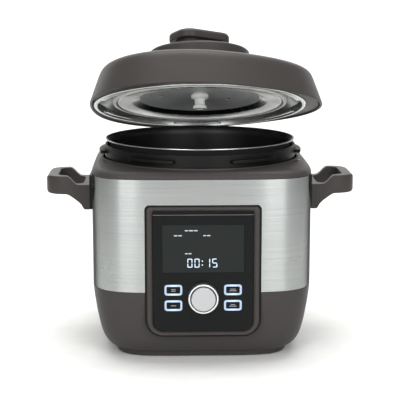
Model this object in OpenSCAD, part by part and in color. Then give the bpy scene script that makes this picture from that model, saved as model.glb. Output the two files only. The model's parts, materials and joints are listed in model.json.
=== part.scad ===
// Electric pressure cooker with a lift-off bayonet lid.
// Origin: on the table, on the axis of the inner pot. +Z is up and the control panel faces -Y.
// The lid is modelled in its own frame, with height 0 at its lower edge, and then placed in its rest pose:
// held open above the pot, turned to its unlocked position and tipped back.

/* [Body] */
// Half of the body's width and depth at the steel band
body_half = 131; // [126:1:140]
// How square the body is in plan: 2 is a circle, and more is squarer
body_power = 5.3; // [4.5:0.1:6.5]
// Height of the rubber feet
foot_h = 8; // [6:0.5:10]
// Height of the seam between the base and the steel band
band_z0 = 85; // [80:1:90]
// Height of the seam between the steel band and the top cover
band_z1 = 217; // [212:1:219]
// Wall thickness of the steel band
band_wall = 0.8; // [0.6:0.1:1.2]
// Wall thickness of the moulded shells
shell_wall = 3; // [2.4:0.1:3.5]

/* [Pot] */
// Outer radius of the inner pot's wall
pot_r = 111.2; // [109:0.1:111.5]
// Outer radius of the inner pot's rim
pot_rim_r = 116.6; // [114:0.1:117]
// Height of the pot's rim when it sits on the heating plate
pot_rim_z = 250; // [248:1:252]
// Wall thickness of the pot
pot_wall = 1.4; // [1.2:0.1:2]
// Height of the top of the heating plate
plate_z = 88; // [84:1:92]

/* [Bayonet] */
// Inner radius of the bayonet ring's wall
ring_r0 = 114; // [113.8:0.1:114.2]
// Outer radius of the bayonet ring's wall
ring_r1 = 117.5; // [117:0.1:118]
// Outer radius of the locking lugs on the body
body_lug_r = 124.5; // [123:0.1:125]
// Angle that each locking lug spans
lug_angle = 28; // [22:1:30]
// Number of locking lugs
lug_count = 6; // [6:1:6]

/* [Lid] */
// Mean radius of the lid's rounded triangular outline
lid_r = 143.6; // [142:0.2:146]
// How far the outline's corners stand out from that mean radius
lid_lobe = 8; // [6:0.5:9]
// Height of the lid's lower edge above the table when the lid is closed
lid_seat_z = 227; // [227:0.5:228]
// Angle that the lid turns between locked and unlocked
lid_twist = 30; // [30:1:30]
// Angle that the open lid is tipped back from closed
lid_tip = 17; // [15:1:20]
// Distance behind the axis of the line that the lid tips about
tip_y = 198; // [195:1:200]
// Height of the line that the lid tips about
tip_z = 232; // [230:1:235]
// Radius of the raised centre cap
cap_r = 63; // [60:0.5:63]
// Length of the lid knob
knob_l = 72; // [66:1:76]
// Width of the lid knob
knob_w = 50; // [44:1:54]

/* [Handles] */
// How far each side handle reaches from the body's axis
handle_x = 188.5; // [180:0.5:195]
// Half of each side handle's width
handle_half = 40; // [36:1:44]

/* [Panel] */
// Width of the panel's bezel
bezel_w = 133; // [128:1:133]
// Width of the gloss front panel
panel_w = 116; // [112:1:118]
// Width of the display window
window_w = 94; // [88:1:96]
// Height of the display window
window_h = 56; // [50:1:58]
// Radius of the dial's outer ring
dial_r = 17.7; // [16:0.1:18.5]
// How far the dial stands out in front of the bezel
dial_out = 13; // [10:0.5:14]
// Width of a push button with its lit frame
button_w = 20.5; // [18:0.5:22]
// Height of a push button with its lit frame
button_h = 12.6; // [11:0.1:13]

/* [Hidden] */
$fn = 72;
eps = 0.01;
plan_count = 64;
lid_count = 60;
screw_r = 1.8;
screw_gap = 0.15;

// Control panel, measured back from the bezel's front face
bezel_y = -133.5;
bezel_depth = 17.5;
bezel_z0 = 33;
bezel_z1 = 187;
panel_z0 = 39;
panel_z1 = 181;
panel_mid = (panel_z0 + panel_z1) / 2;
panel_front = 1;
panel_back = 4;
window_z = 137;
dial_z = 80.4;
button_x = 34.4;
button_zs = [88.4, 70];
button_frame = 2.3;
board_front = 14;
board_back = 15.6;
board_post = [51, 65];
digit_h = 10.6;
digit_w = 5.9;
digit_stroke = 1.15;
digit_step = 8.2;
digit_segments = [[1, 1, 1, 1, 1, 1, 0], [1, 1, 1, 1, 1, 1, 0], [0, 1, 1, 0, 0, 0, 0], [1, 0, 1, 1, 0, 1, 1]];

// Base
flange_z = foot_h + 4;
skirt_z0 = 1;
foot_x = 78;
foot_y = 76;
foot_r = 10.5;
boss_r = 5.5;
board_z = 28;
power_posts = [[-62, -34], [62, -34], [-62, 50], [62, 50]];
inlet_z = 40;
inlet_w = 28;
inlet_h = 21.2;
inlet_y = 128.2;

// Liner, heater and sensor
liner_r = 113.7;
liner_wall = 0.8;
liner_z0 = 60;
liner_z1 = 219;
liner_floor = liner_z0 + liner_wall;
heater_r = 100;
heater_t = 12;
element_r = 80;
element_wire = 4;
ear_r = 126;
sensor_r = 11.5;
sensor_stem = 5;
sensor_cap_z = 84;
bracket_t = 2;
spring_r = 8;
spring_wire = 0.7;
spring_turns = 6;

// Handles
handle_pad_t = 4;
handle_root_x = body_half + handle_pad_t + 0.1;
handle_screw_y = 35.5;
handle_screw_z = 184;

// Rear cup
cup_half = 31;
cup_y0 = 133.4;
cup_y1 = 150.5;
cup_z0 = 140;
cup_z1 = 188;
cup_wall = 1.5;

// Lid heights, in the lid's own frame
skirt_r0 = 126.5;
skirt_r1 = 128.5;
lid_lug_r = 120.5;
shell_top_h = 54;
cap_top_h = 70;
knob_h0 = 82;
knob_h1 = 94;
valve_r = 48;
valve_angle = 136.6;
float_angle = 9;
boss_ring_r = 90;
seal_r0 = 103;

charcoal = "#4d4b4b";
steel = "#9ea1a0";
black = "#1c1c1c";
gloss = "#1f2223";
silver = "#cfcfd1";
white = "#e8e8e4";
glow = "#dcecff";
green = "#2f5d3a";
copper = "#b0703a";

// ---------- Helpers ----------

function signed_power(v, p) = sign(v) * pow(abs(v), p);

// One ring of points round the body's rounded-square plan
function plan_ring(half, z) = [
    for (i = [0 : plan_count - 1])
        let (a = 360 * i / plan_count)
            [half * signed_power(cos(a), 2 / body_power), half * signed_power(sin(a), 2 / body_power), z]
];

function flat(ring) = [for (p = ring) [p.x, p.y]];

// One ring of points round the lid's rounded triangle, with one corner at the rear
function lid_ring(radius, lobe, h) = [
    for (i = [0 : lid_count - 1])
        let (a = 360 * i / lid_count, r = radius + lobe * cos(3 * (a - 90)))
            [r * cos(a), r * sin(a), h]
];

// A closed solid through a stack of rings that all have the same number of points, lowest ring first
module loft(rings) {
    n = len(rings[0]);
    last = (len(rings) - 1) * n;
    sides = [
        for (k = [0 : len(rings) - 2], i = [0 : n - 1])
            let (j = (i + 1) % n, a = k * n, b = a + n)
                each [[a + i, b + i, b + j], [a + i, b + j, a + j]]
    ];
    floor = [for (i = [0 : n - 1]) i];
    roof = [for (i = [n - 1 : -1 : 0]) last + i];
    polyhedron([for (ring = rings) each ring], concat([floor], sides, [roof]));
}

// Unit vector along a route at its point k
function route_dir(route, k) =
    let (a = route[max(k - 1, 0)], b = route[min(k + 1, len(route) - 1)])
        (b - a) / norm(b - a);

// A round tube swept along a route. The reference direction must never lie along the route.
module tube(route, radius, ref) {
    sides = 8;
    loft([
        for (k = [0 : len(route) - 1])
            let (d = route_dir(route, k), u0 = cross(ref, d), u = u0 / norm(u0), v = cross(d, u))
                [for (i = [0 : sides - 1]) route[k] + radius * (cos(360 * i / sides) * u + sin(360 * i / sides) * v)]
    ]);
}

module rounded_rect(w, h, r) {
    square([w - 2 * r, h], center = true);
    square([w, h - 2 * r], center = true);
    for (x = [-1, 1], y = [-1, 1])
        translate([x * (w / 2 - r), y * (h / 2 - r)]) circle(r);
}

// Extrudes a drawing in X and Z between two values of Y
module slab_y(y0, y1) {
    translate([0, y1, 0]) rotate([90, 0, 0]) linear_extrude(y1 - y0) children();
}

// Extrudes a drawing in Y and Z between two values of X
module slab_x(x0, x1) {
    translate([x0, 0, 0]) rotate([90, 0, 90]) linear_extrude(x1 - x0) children();
}

// Extrudes a drawing in X and Z between two depths behind the bezel's front face
module panel_slab(d0, d1) {
    slab_y(bezel_y + d0, bezel_y + d1) children();
}

module post(x, y, z0, z1, r) {
    translate([x, y, z0]) cylinder(r = r, h = z1 - z0);
}

module post_y(x, z, y0, y1, r) {
    translate([x, y1, z]) rotate([90, 0, 0]) cylinder(r = r, h = y1 - y0);
}

module post_x(y, z, x0, x1, r) {
    translate([x0, y, z]) rotate([0, 90, 0]) cylinder(r = r, h = x1 - x0);
}

module ring_z(r0, r1, z0, z1) {
    translate([0, 0, z0]) difference() {
        cylinder(r = r1, h = z1 - z0);
        translate([0, 0, -1]) cylinder(r = r0, h = z1 - z0 + 2);
    }
}

// Part of a ring, centred on an angle
module ring_sector(r0, r1, z0, z1, mid, span) {
    rotate([0, 0, mid - span / 2]) rotate_extrude(angle = span)
        translate([r0, z0]) square([r1 - r0, z1 - z0]);
}

module at_feet() {
    for (x = [-1, 1], y = [-1, 1]) translate([x * foot_x, y * foot_y, 0]) children();
}

module at_corners(r) {
    for (a = [45 : 90 : 315]) rotate([0, 0, a]) translate([r, 0, 0]) children();
}

module on_both_sides() {
    children();
    mirror([1, 0, 0]) children();
}

// ---------- Outer body ----------

module steel_band() {
    color(steel) difference() {
        translate([0, 0, band_z0]) linear_extrude(band_z1 - band_z0) difference() {
            polygon(flat(plan_ring(body_half, 0)));
            polygon(flat(plan_ring(body_half - band_wall, 0)));
        }
        panel_window(bezel_z1 + 0.4);
        on_both_sides() handle_screw_holes();
        for (x = [-26, 26]) post_y(x, 170, 120, 140, 2.2);
    }
}

// The opening that the bezel sits in
module panel_window(top) {
    translate([-bezel_w / 2 - 0.3, -body_half - 5, bezel_z0 - 0.4])
        cube([bezel_w + 0.6, 30, top - bezel_z0 + 0.4]);
}

module handle_screw_holes() {
    for (y = [-1, 1]) post_x(y * handle_screw_y, handle_screw_z, 120, 140, 2.6);
}

module base_shell() {
    lip = body_half - band_wall - 0.15;
    outer = [
        plan_ring(104.4, skirt_z0), plan_ring(105.2, 7.2), plan_ring(109, 8.8), plan_ring(113.5, 12),
        plan_ring(117.5, 17), plan_ring(121, 24),
        plan_ring(124.6, 38), plan_ring(127.8, 56), plan_ring(130, 72), plan_ring(body_half, band_z0),
        plan_ring(lip, band_z0), plan_ring(lip, band_z0 + 6)
    ];
    inner = [
        plan_ring(107, flange_z + shell_wall), plan_ring(113.5, 19), plan_ring(118, 25.5),
        plan_ring(121.6, 39), plan_ring(124.8, 56), plan_ring(127, 72), plan_ring(lip - 2.4, band_z0 + 7)
    ];
    color(charcoal) difference() {
        union() {
            difference() {
                loft(outer);
                loft(inner);
                loft([plan_ring(101.6, skirt_z0 - 1), plan_ring(102.4, flange_z)]);
                translate([0, 0, flange_z - 1]) linear_extrude(shell_wall + 3) rounded_rect(138, 176, 24);
            }
            at_feet() cylinder_at(flange_z, 34, boss_r);
        }
        at_feet() cylinder_at(flange_z - 1, 30, screw_r + screw_gap);
        panel_window(band_z0 + 20);
        slab_y(110, 140) translate([0, inlet_z]) square([inlet_w + 0.4, inlet_h + 0.4], center = true);
        slab_y(inlet_y - 2.4, 140) translate([0, inlet_z]) rounded_rect(inlet_w + 6.6, inlet_h + 6.6, 3);
    }
}

module cylinder_at(z0, z1, r) {
    translate([0, 0, z0]) cylinder(r = r, h = z1 - z0);
}

module bottom_plate() {
    color(black) difference() {
        union() {
            translate([0, 0, foot_h]) linear_extrude(flange_z - foot_h) polygon(flat(plan_ring(101, 0)));
            for (p = power_posts) post(p.x, p.y, flange_z - 1, board_z, 4);
        }
        at_feet() cylinder_at(foot_h - 1, flange_z + 1, screw_r + 0.4);
        for (p = power_posts) post(p.x, p.y, board_z - 10, board_z + 1, screw_r + screw_gap);
        for (x = [-1, 1], k = [-4 : 4])
            translate([x * 34, k * 9, 0]) linear_extrude(20) rounded_rect(46, 3.6, 1.7);
    }
}

module feet() {
    color(black) at_feet() difference() {
        cylinder(r1 = foot_r, r2 = foot_r + 1.5, h = foot_h);
        cylinder_at(-1, foot_h + 1, screw_r + 0.4);
        cylinder_at(-1, 5, 5);
    }
}

module base_screws() {
    color(steel) at_feet() {
        cylinder_at(2.4, 5, 4);
        cylinder_at(5 - eps, 28, screw_r);
    }
}

module top_cover() {
    lip = body_half - band_wall - 0.15;
    outer = [
        plan_ring(lip, band_z1 - 8), plan_ring(lip, band_z1), plan_ring(body_half, band_z1),
        plan_ring(130.7, 219.5), plan_ring(129.7, 222), plan_ring(127.8, 224.2), plan_ring(125.6, 225.5),
        plan_ring(123, 226)
    ];
    inner = [
        plan_ring(lip - 2.2, band_z1 - 9), plan_ring(lip - 2.2, 219), plan_ring(126, 221.4),
        plan_ring(122, 223.4)
    ];
    color(charcoal) difference() {
        union() {
            difference() {
                loft(outer);
                loft(inner);
            }
            cylinder_at(223.3, 228, 121.8);
            at_corners(ear_r) cylinder_at(221.2, 224, 5);
        }
        cylinder_at(200, 240, 119.5);
        at_corners(ear_r) cylinder_at(215, 224.4, screw_r + screw_gap);
    }
}

module bayonet_ring() {
    color(black) difference() {
        union() {
            rotate_extrude() polygon(concat(
                [[ring_r0, 219], [119.2, 219], [119.2, 221.2], [ring_r1, 221.2]],
                [for (a = [0 : 15 : 180]) [115.75 + 1.75 * cos(a), 241.25 + 1.75 * sin(a)]]
            ));
            for (k = [0 : lug_count - 1])
                ring_sector(ring_r1 - 1, body_lug_r, 233, 237, k * 360 / lug_count, lug_angle);
            ring_ears(219, 221.2);
        }
        at_corners(ear_r) cylinder_at(210, 230, 2.1);
    }
}

// Four ears that carry the screws of the bayonet ring and the liner
module ring_ears(z0, z1) {
    difference() {
        at_corners(0) translate([110, -7, z0]) cube([22, 14, z1 - z0]);
        cylinder_at(z0 - 1, z1 + 1, 116);
    }
}

module ring_screws() {
    color(steel) at_corners(ear_r) {
        cylinder_at(215.4, 218.2, 3.8);
        cylinder_at(218.2 - eps, 224, screw_r);
    }
}

// ---------- Liner, heater and sensor ----------

module inner_liner() {
    r0 = liner_r - liner_wall;
    color(steel) difference() {
        union() {
            rotate_extrude() polygon([
                [0, liner_z0], [liner_r - 8, liner_z0], [liner_r, liner_z0 + 8], [liner_r, liner_z1 - liner_wall],
                [119.2, liner_z1 - liner_wall], [119.2, liner_z1], [r0, liner_z1], [r0, liner_z0 + 8.4],
                [r0 - 7.6, liner_floor], [0, liner_floor]
            ]);
            ring_ears(liner_z1 - liner_wall, liner_z1);
        }
        cylinder_at(liner_z0 - 1, liner_floor + 1, 8);
        for (x = [-14, 14]) post(x, element_r, liner_z0 - 1, liner_floor + 1, 5);
        at_corners(ear_r) cylinder_at(liner_z1 - 3, liner_z1 + 1, 2.1);
    }
}

module heating_plate() {
    z0 = plate_z - heater_t;
    color(silver) {
        rotate_extrude() polygon([
            [sensor_r + 1, z0], [heater_r - 6, z0], [heater_r, z0 + 6], [heater_r, plate_z - 2],
            [heater_r - 2, plate_z], [sensor_r + 1, plate_z]
        ]);
        for (a = [30, 150, 270]) rotate([0, 0, a]) post(60, 0, liner_floor, z0 + eps, 5);
    }
}

module heating_element() {
    z = plate_z - heater_t - element_wire - 0.1;
    color(steel) {
        rotate([0, 0, 90]) rotate([0, 0, 10]) rotate_extrude(angle = 340)
            translate([element_r, z]) circle(element_wire);
        for (x = [-14, 14]) post(x, element_r * 0.982, 50, z, 2.6);
    }
}

module sensor_bracket() {
    color(steel) translate([0, 0, liner_floor]) linear_extrude(bracket_t) difference() {
        rounded_rect(70, 24, 6);
        circle(sensor_stem + 0.08);
    }
}

module temperature_sensor() {
    color(silver) rotate_extrude() polygon([
        [0, 61.5], [sensor_stem, 61.5], [sensor_stem, sensor_cap_z], [sensor_r, sensor_cap_z],
        [sensor_r, plate_z - 0.6], [sensor_r - 0.6, plate_z], [0, plate_z]
    ]);
}

module sensor_spring() {
    z0 = liner_floor + bracket_t + spring_wire + 0.1;
    rise = sensor_cap_z - spring_wire - 0.1 - z0;
    steps = spring_turns * 14;
    route = [
        for (k = [0 : steps])
            let (t = k / steps, a = 360 * spring_turns * t)
                [spring_r * cos(a), spring_r * sin(a), z0 + rise * t]
    ];
    color(steel) tube(route, spring_wire, [0, 0, 1]);
}

// ---------- Handles ----------

module handle() {
    inner_x = 143;
    depth = handle_x - handle_root_x;
    color(charcoal) difference() {
        intersection() {
            linear_extrude(260) translate([handle_root_x, 0]) handle_plan(depth);
            slab_y(-60, 60) handle_side();
        }
        linear_extrude(260) translate([(inner_x + 174) / 2, 0]) rounded_rect(174 - inner_x, 62, 12);
        for (y = [-1, 1]) post_x(y * handle_screw_y, handle_screw_z, 120, 152, 2.35);
    }
}

// The handle's outline from above: square at the body, round outside
module handle_plan(depth) {
    r = 24;
    translate([0, -handle_half]) square([depth - r, 2 * handle_half]);
    translate([depth - 2 * r, -handle_half + r]) square([2 * r, 2 * (handle_half - r)]);
    for (y = [-1, 1]) translate([depth - r, y * (handle_half - r)]) circle(r);
}

// The handle's outline from the front
module handle_side() {
    polygon([
        [handle_root_x, 166], [142.6, 166], [145, 173], [161, 185], [handle_x - 4, 185], [handle_x, 188],
        [handle_x, 203], [handle_x - 4, 207], [161, 207], [152, 196.5], [handle_root_x, 196.5]
    ]);
}

module right_handle() {
    handle();
}

module left_handle() {
    mirror([1, 0, 0]) handle();
}

module handle_pads() {
    color(black) on_both_sides() difference() {
        slab_x(body_half + 0.05, body_half + 0.05 + handle_pad_t) translate([0, 187]) rounded_rect(84, 42, 4);
        handle_screw_holes();
    }
}

module handle_screws() {
    inside = body_half - band_wall - 0.4;
    color(steel) on_both_sides() for (y = [-1, 1]) {
        post_x(y * handle_screw_y, handle_screw_z, inside - 3, inside, 4.4);
        post_x(y * handle_screw_y, handle_screw_z, inside - eps, 150, 2.2);
    }
}

// ---------- Control panel ----------

module panel_outline(w, z0, z1, r_top, r_bottom) {
    for (x = [-1, 1]) {
        translate([x * (w / 2 - r_top), z1 - r_top]) circle(r_top);
        translate([x * (w / 2 - r_bottom), z0 + r_bottom]) circle(r_bottom);
    }
    translate([-w / 2 + r_bottom, z0]) square([w - 2 * r_bottom, r_bottom]);
    translate([-w / 2, z0 + r_bottom]) square([w, z1 - z0 - r_bottom - r_top]);
    translate([-w / 2 + r_top, z1 - 2 * r_top]) square([w - 2 * r_top, 2 * r_top]);
}

module bezel() {
    color(charcoal) difference() {
        union() {
            difference() {
                panel_slab(0, bezel_depth) panel_outline(bezel_w, bezel_z0, bezel_z1, 5, 20);
                panel_slab(-1, panel_back + 0.1)
                    panel_outline(panel_w + 0.4, panel_z0 - 0.2, panel_z1 + 0.2, 2, 12);
                panel_slab(panel_back, bezel_depth + 1)
                    panel_outline(panel_w - 6, panel_z0 + 3, panel_z1 - 3, 2, 2);
            }
            at_board_posts() post_y(0, 0, bezel_y + panel_back + 0.1, bezel_y + board_front, 4);
        }
        at_board_posts() post_y(0, 0, bezel_y + panel_back + 2, bezel_y + bezel_depth, 1.45);
    }
}

module at_board_posts() {
    for (x = [-1, 1], z = [-1, 1])
        translate([x * board_post.x, 0, panel_mid + z * board_post.y]) children();
}

module at_buttons() {
    for (x = [-1, 1], z = button_zs) translate([x * button_x, z]) children();
}

module front_panel() {
    color(gloss) panel_slab(panel_front, panel_back) difference() {
        panel_outline(panel_w, panel_z0, panel_z1, 2, 12);
        translate([0, window_z]) square([window_w + 0.2, window_h + 0.2], center = true);
        at_buttons() rounded_rect(button_w + 0.2, button_h + 0.2, 3.1);
        translate([0, dial_z]) circle(5);
    }
}

module display_lens() {
    color("#2c2f2f") panel_slab(panel_front + 0.2, panel_back - 0.4)
        translate([0, window_z]) square([window_w, window_h], center = true);
}

// A seven-segment digit; the segments run a to g
module digit(lit) {
    half = digit_h / 2;
    arm = (digit_w - digit_stroke) / 2;
    gap = 0.35;
    places = [
        [0, half - digit_stroke / 2, 0], [arm, half / 2, 1], [arm, -half / 2, 1],
        [0, -half + digit_stroke / 2, 0], [-arm, -half / 2, 1], [-arm, half / 2, 1], [0, 0, 0]
    ];
    for (k = [0 : 6]) if (lit[k] == 1) {
        upright = places[k][2] == 1;
        long = upright ? half - digit_stroke / 2 - gap : digit_w - digit_stroke - 2 * gap;
        translate([places[k][0], places[k][1]])
            square(upright ? [digit_stroke, long] : [long, digit_stroke], center = true);
    }
}

module display_digits() {
    color(glow) panel_slab(panel_front, panel_front + 0.2) translate([-1, 120.4]) {
        for (k = [0 : 3]) {
            shift = (k - 1.5) * digit_step + (k < 2 ? -2 : 2);
            translate([shift, 0]) digit(digit_segments[k]);
        }
        for (z = [-1, 1]) translate([0, z * 2.3]) square([1.3, 1.3], center = true);
    }
}

module lcd_module() {
    color(black) panel_slab(panel_back, 8) translate([0, window_z]) square([100, 62], center = true);
}

module light_guides() {
    color(glow) panel_slab(panel_front - 0.2, panel_back - 0.1) at_buttons() difference() {
        rounded_rect(button_w, button_h, 3);
        rounded_rect(button_w - 2 * button_frame, button_h - 2 * button_frame, 1.4);
    }
}

module button(x, z) {
    w = button_w - 2 * button_frame - 0.4;
    h = button_h - 2 * button_frame - 0.4;
    color(black) translate([x, 0, z]) {
        panel_slab(panel_front - 0.3, panel_back + 0.3) rounded_rect(w, h, 1.2);
        panel_slab(panel_back + 0.2, panel_back + 1.2) rounded_rect(w + 3, h + 3, 2);
        panel_slab(panel_back + 1.1, 7) circle(2.5);
    }
}

module button_upper_left() {
    button(-button_x, button_zs[0]);
}

module button_upper_right() {
    button(button_x, button_zs[0]);
}

module button_lower_left() {
    button(-button_x, button_zs[1]);
}

module button_lower_right() {
    button(button_x, button_zs[1]);
}

module button_switches() {
    color(black) {
        panel_slab(10.4, board_front) at_buttons() square([6, 6], center = true);
        panel_slab(8.1, 10.5) at_buttons() circle(1.7);
    }
}

module encoder_body() {
    color(steel) difference() {
        union() {
            panel_slab(7, board_front) translate([0, dial_z]) square([13, 12], center = true);
            panel_slab(1.5, 7.1) translate([0, dial_z]) circle(4.6);
        }
        panel_slab(1, 9) translate([0, dial_z]) circle(3.08);
        panel_slab(8.9, 12.5) translate([0, dial_z]) circle(4.08);
    }
}

// The encoder's push switch: it travels with the shaft but doesn't turn
module encoder_plunger() {
    color(white) panel_slab(9.4, 11.4) translate([0, dial_z]) circle(4);
}

module encoder_shaft() {
    color(steel) panel_slab(-9, 9.3) translate([0, dial_z]) circle(3);
}

// A turned part on the dial's axis, drawn as radius and distance in front of the bezel
module dial_turned() {
    translate([0, bezel_y, dial_z]) rotate([90, 0, 0]) rotate_extrude() children();
}

module dial_ring() {
    r0 = dial_r - 2.5;
    front = dial_out - 2.5;
    color(silver) dial_turned() polygon([
        [3.05, 0.1], [dial_r, 0.1], [dial_r - 0.2, front - 1], [dial_r - 1, front], [r0, front],
        [r0, 3], [3.05, 3]
    ]);
}

module dial_cap() {
    r = dial_r - 3.3;
    color(silver) dial_turned() polygon([
        [3.05, 3], [r, 3], [r, dial_out - 1.2], [r - 1.2, dial_out], [0, dial_out], [0, 9.1], [3.05, 9.1]
    ]);
}

module control_board() {
    color(green) panel_slab(board_front, board_back) difference() {
        translate([0, panel_mid]) square([108, 134], center = true);
        for (x = [-1, 1], z = [-1, 1])
            translate([x * board_post.x, panel_mid + z * board_post.y]) circle(1.6);
    }
}

module board_screws() {
    color(steel) {
        at_board_posts() {
            post_y(0, 0, bezel_y + board_back, bezel_y + board_back + 1.6, 2.6);
            post_y(0, 0, bezel_y + 7, bezel_y + board_back + eps, 1.3);
        }
        for (p = power_posts) {
            post(p.x, p.y, board_z + 1.6, board_z + 3.8, 3.4);
            post(p.x, p.y, board_z - 8, board_z + 1.6 + eps, screw_r);
        }
    }
}

// ---------- Power supply ----------

module power_board() {
    color(green) difference() {
        translate([-70, -42, board_z]) cube([140, 100, 1.6]);
        for (p = power_posts) post(p.x, p.y, board_z - 1, board_z + 3, screw_r + 0.3);
    }
}

module power_parts() {
    top = board_z + 1.6;
    color(black) {
        translate([-52, -26, top]) cube([36, 30, 26]);
        translate([4, -24, top]) cube([19, 16, 16]);
        translate([30, -24, top]) cube([19, 16, 16]);
        for (x = [-46, -27]) post(x, 28, top, top + 20, 8);
        translate([-15, 30, top]) cube([30, 12, 14]);
    }
}

module power_inlet() {
    socket_w = inlet_w - 4;
    socket_h = inlet_h - 4;
    color(black) difference() {
        union() {
            slab_y(98, inlet_y - 1) translate([0, inlet_z]) square([inlet_w, inlet_h], center = true);
            slab_y(inlet_y - 2.2, inlet_y) translate([0, inlet_z]) rounded_rect(inlet_w + 6, inlet_h + 6, 3);
        }
        slab_y(104, inlet_y + 1) translate([0, inlet_z]) square([socket_w, socket_h], center = true);
    }
    color(silver) for (x = [-7, 0, 7])
        slab_y(92, 122) translate([x, inlet_z + (x == 0 ? 3 : -1)]) square([2, 4], center = true);
}

module mains_leads() {
    for (side = [-1, 1]) {
        route = [
            [side * 7, 92, 39], [side * 7, 87, 39], [side * 7, 82, 38.4], [side * 7, 77, 37.4],
            [side * 7, 72, 36.6], [side * 7, 67, 36.2], [side * 7, 60, 36], [side * 7, 51, 36],
            [side * 7, 42, 36]
        ];
        color(copper) tube(route, 1.4, [0, 0, 1]);
    }
}

// ---------- Rear cup ----------

module cup_bracket() {
    back = body_half + 0.1;
    color(black) difference() {
        union() {
            slab_y(back, 133) translate([0, 170]) rounded_rect(71, 44, 3);
            for (x = [-1, 1]) translate([x * 34.4, 0, 0]) slab_y(132.9, 138) translate([0, 170])
                square([2, 40], center = true);
            for (x = [-1, 1]) translate([x * 33.4, 0, 0]) slab_y(136, 138) translate([0, 170])
                square([4, 40], center = true);
            for (x = [-1, 1]) translate([x * 33.4, 0, 0]) slab_y(132.9, 138) translate([0, 149])
                square([4, 2.4], center = true);
        }
        for (x = [-26, 26]) post_y(x, 170, 120, 140, 2.2);
    }
    color(steel) for (x = [-26, 26]) {
        post_y(x, 170, 124, back + 1, 1.9);
        post_y(x, 170, 126, body_half - band_wall - 0.4, 4);
    }
}

module condensation_cup() {
    w = 2 * cup_half;
    color("#b9c0c0") difference() {
        union() {
            slab_y(cup_y0, cup_y1) translate([0, (cup_z0 + cup_z1) / 2]) rounded_rect(w, cup_z1 - cup_z0, 5);
            slab_y(cup_y0, 135.7) translate([0, 168.5]) square([66.2, 36], center = true);
        }
        translate([-cup_half + cup_wall, cup_y0 + cup_wall, cup_z0 + cup_wall])
            cube([w - 2 * cup_wall, cup_y1 - cup_y0 - 2 * cup_wall, 60]);
    }
}

// ---------- Inner pot ----------

module inner_pot() {
    z0 = plate_z + 0.2;
    r0 = pot_r - pot_wall;
    floor_r = 14;
    color(black) rotate_extrude() polygon(concat(
        [[0, z0]],
        [for (a = [-90 : 15 : 0]) [pot_r - floor_r + floor_r * cos(a), z0 + floor_r + floor_r * sin(a)]],
        [[pot_r, 242], [112.2, 245.5], [pot_rim_r - 1.6, 248.2], [pot_rim_r, 248.8], [pot_rim_r, pot_rim_z],
         [pot_rim_r - 1.4, pot_rim_z], [112.4, 248.6], [110.7, 246], [r0, 242.4]],
        [for (a = [0 : -15 : -90])
            [r0 - (floor_r - pot_wall) + (floor_r - pot_wall) * cos(a),
             z0 + floor_r + (floor_r - pot_wall) * sin(a)]],
        [[0, z0 + pot_wall]]
    ));
}

// ---------- Lid ----------

// Moves a piece from the lid's own frame to its rest pose
module in_rest_pose(turn = lid_twist) {
    translate([0, tip_y, tip_z]) rotate([-lid_tip, 0, 0]) translate([0, -tip_y, lid_seat_z - tip_z])
        rotate([0, 0, turn]) children();
}

module lid_shell() {
    outer = [
        lid_ring(lid_r - 1.2, lid_lobe, 0), lid_ring(lid_r, lid_lobe, 1.6), lid_ring(lid_r - 3.8, lid_lobe, 13),
        lid_ring(lid_r - 7.6, lid_lobe, 24), lid_ring(lid_r - 11.4, lid_lobe, 35),
        lid_ring(lid_r - 14.2, lid_lobe, 39.6), lid_ring(lid_r - 18.6, lid_lobe - 0.6, 42.6),
        lid_ring(lid_r - 25.1, lid_lobe - 1.6, 44.6), lid_ring(110, 5.4, 46.2), lid_ring(96, 4, 48.4),
        lid_ring(80, 2, 51), lid_ring(66, 0.5, 53.6), lid_ring(63.8, 0, shell_top_h)
    ];
    inner = [
        lid_ring(lid_r - 2.8, lid_lobe, -1), lid_ring(lid_r - 6.6, lid_lobe, 13), lid_ring(lid_r - 10.4, lid_lobe, 24),
        lid_ring(lid_r - 14.2, lid_lobe, 34.4), lid_ring(lid_r - 16.8, lid_lobe - 0.2, 37.4),
        lid_ring(lid_r - 21, lid_lobe - 1, 39.8), lid_ring(lid_r - 27.1, lid_lobe - 1.8, 41.6),
        lid_ring(96, 4, 45.4), lid_ring(80, 2, 48), lid_ring(62, 0, 50.8)
    ];
    color(charcoal) in_rest_pose() difference() {
        union() {
            difference() {
                loft(outer);
                loft(inner);
            }
            at_lid_bosses() cylinder_at(36, 46.8, 5.5, $fn = 12);
        }
        at_lid_bosses() cylinder_at(35, 44.5, 3.4, $fn = 12);
        cylinder_at(45, 60, 60);
    }
}

module at_lid_bosses() {
    for (a = [30, 150, 270]) rotate([0, 0, a]) translate([boss_ring_r, 0, 0]) children();
}

// Closes the space between the steel pan and the shell's lower edge
module lid_lower_cover() {
    color(charcoal) in_rest_pose() translate([0, 0, 2]) linear_extrude(2.5) difference() {
        polygon(flat(lid_ring(lid_r - 4.7, lid_lobe, 0)));
        circle(131.2);
    }
}

module lid_trim_ring() {
    color(silver) in_rest_pose() rotate_extrude() polygon([
        [skirt_r1 + 0.1, 0.4], [130.2, 0.4], [131, 1.2], [131, 4], [skirt_r1 + 0.1, 4]
    ]);
}

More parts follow.
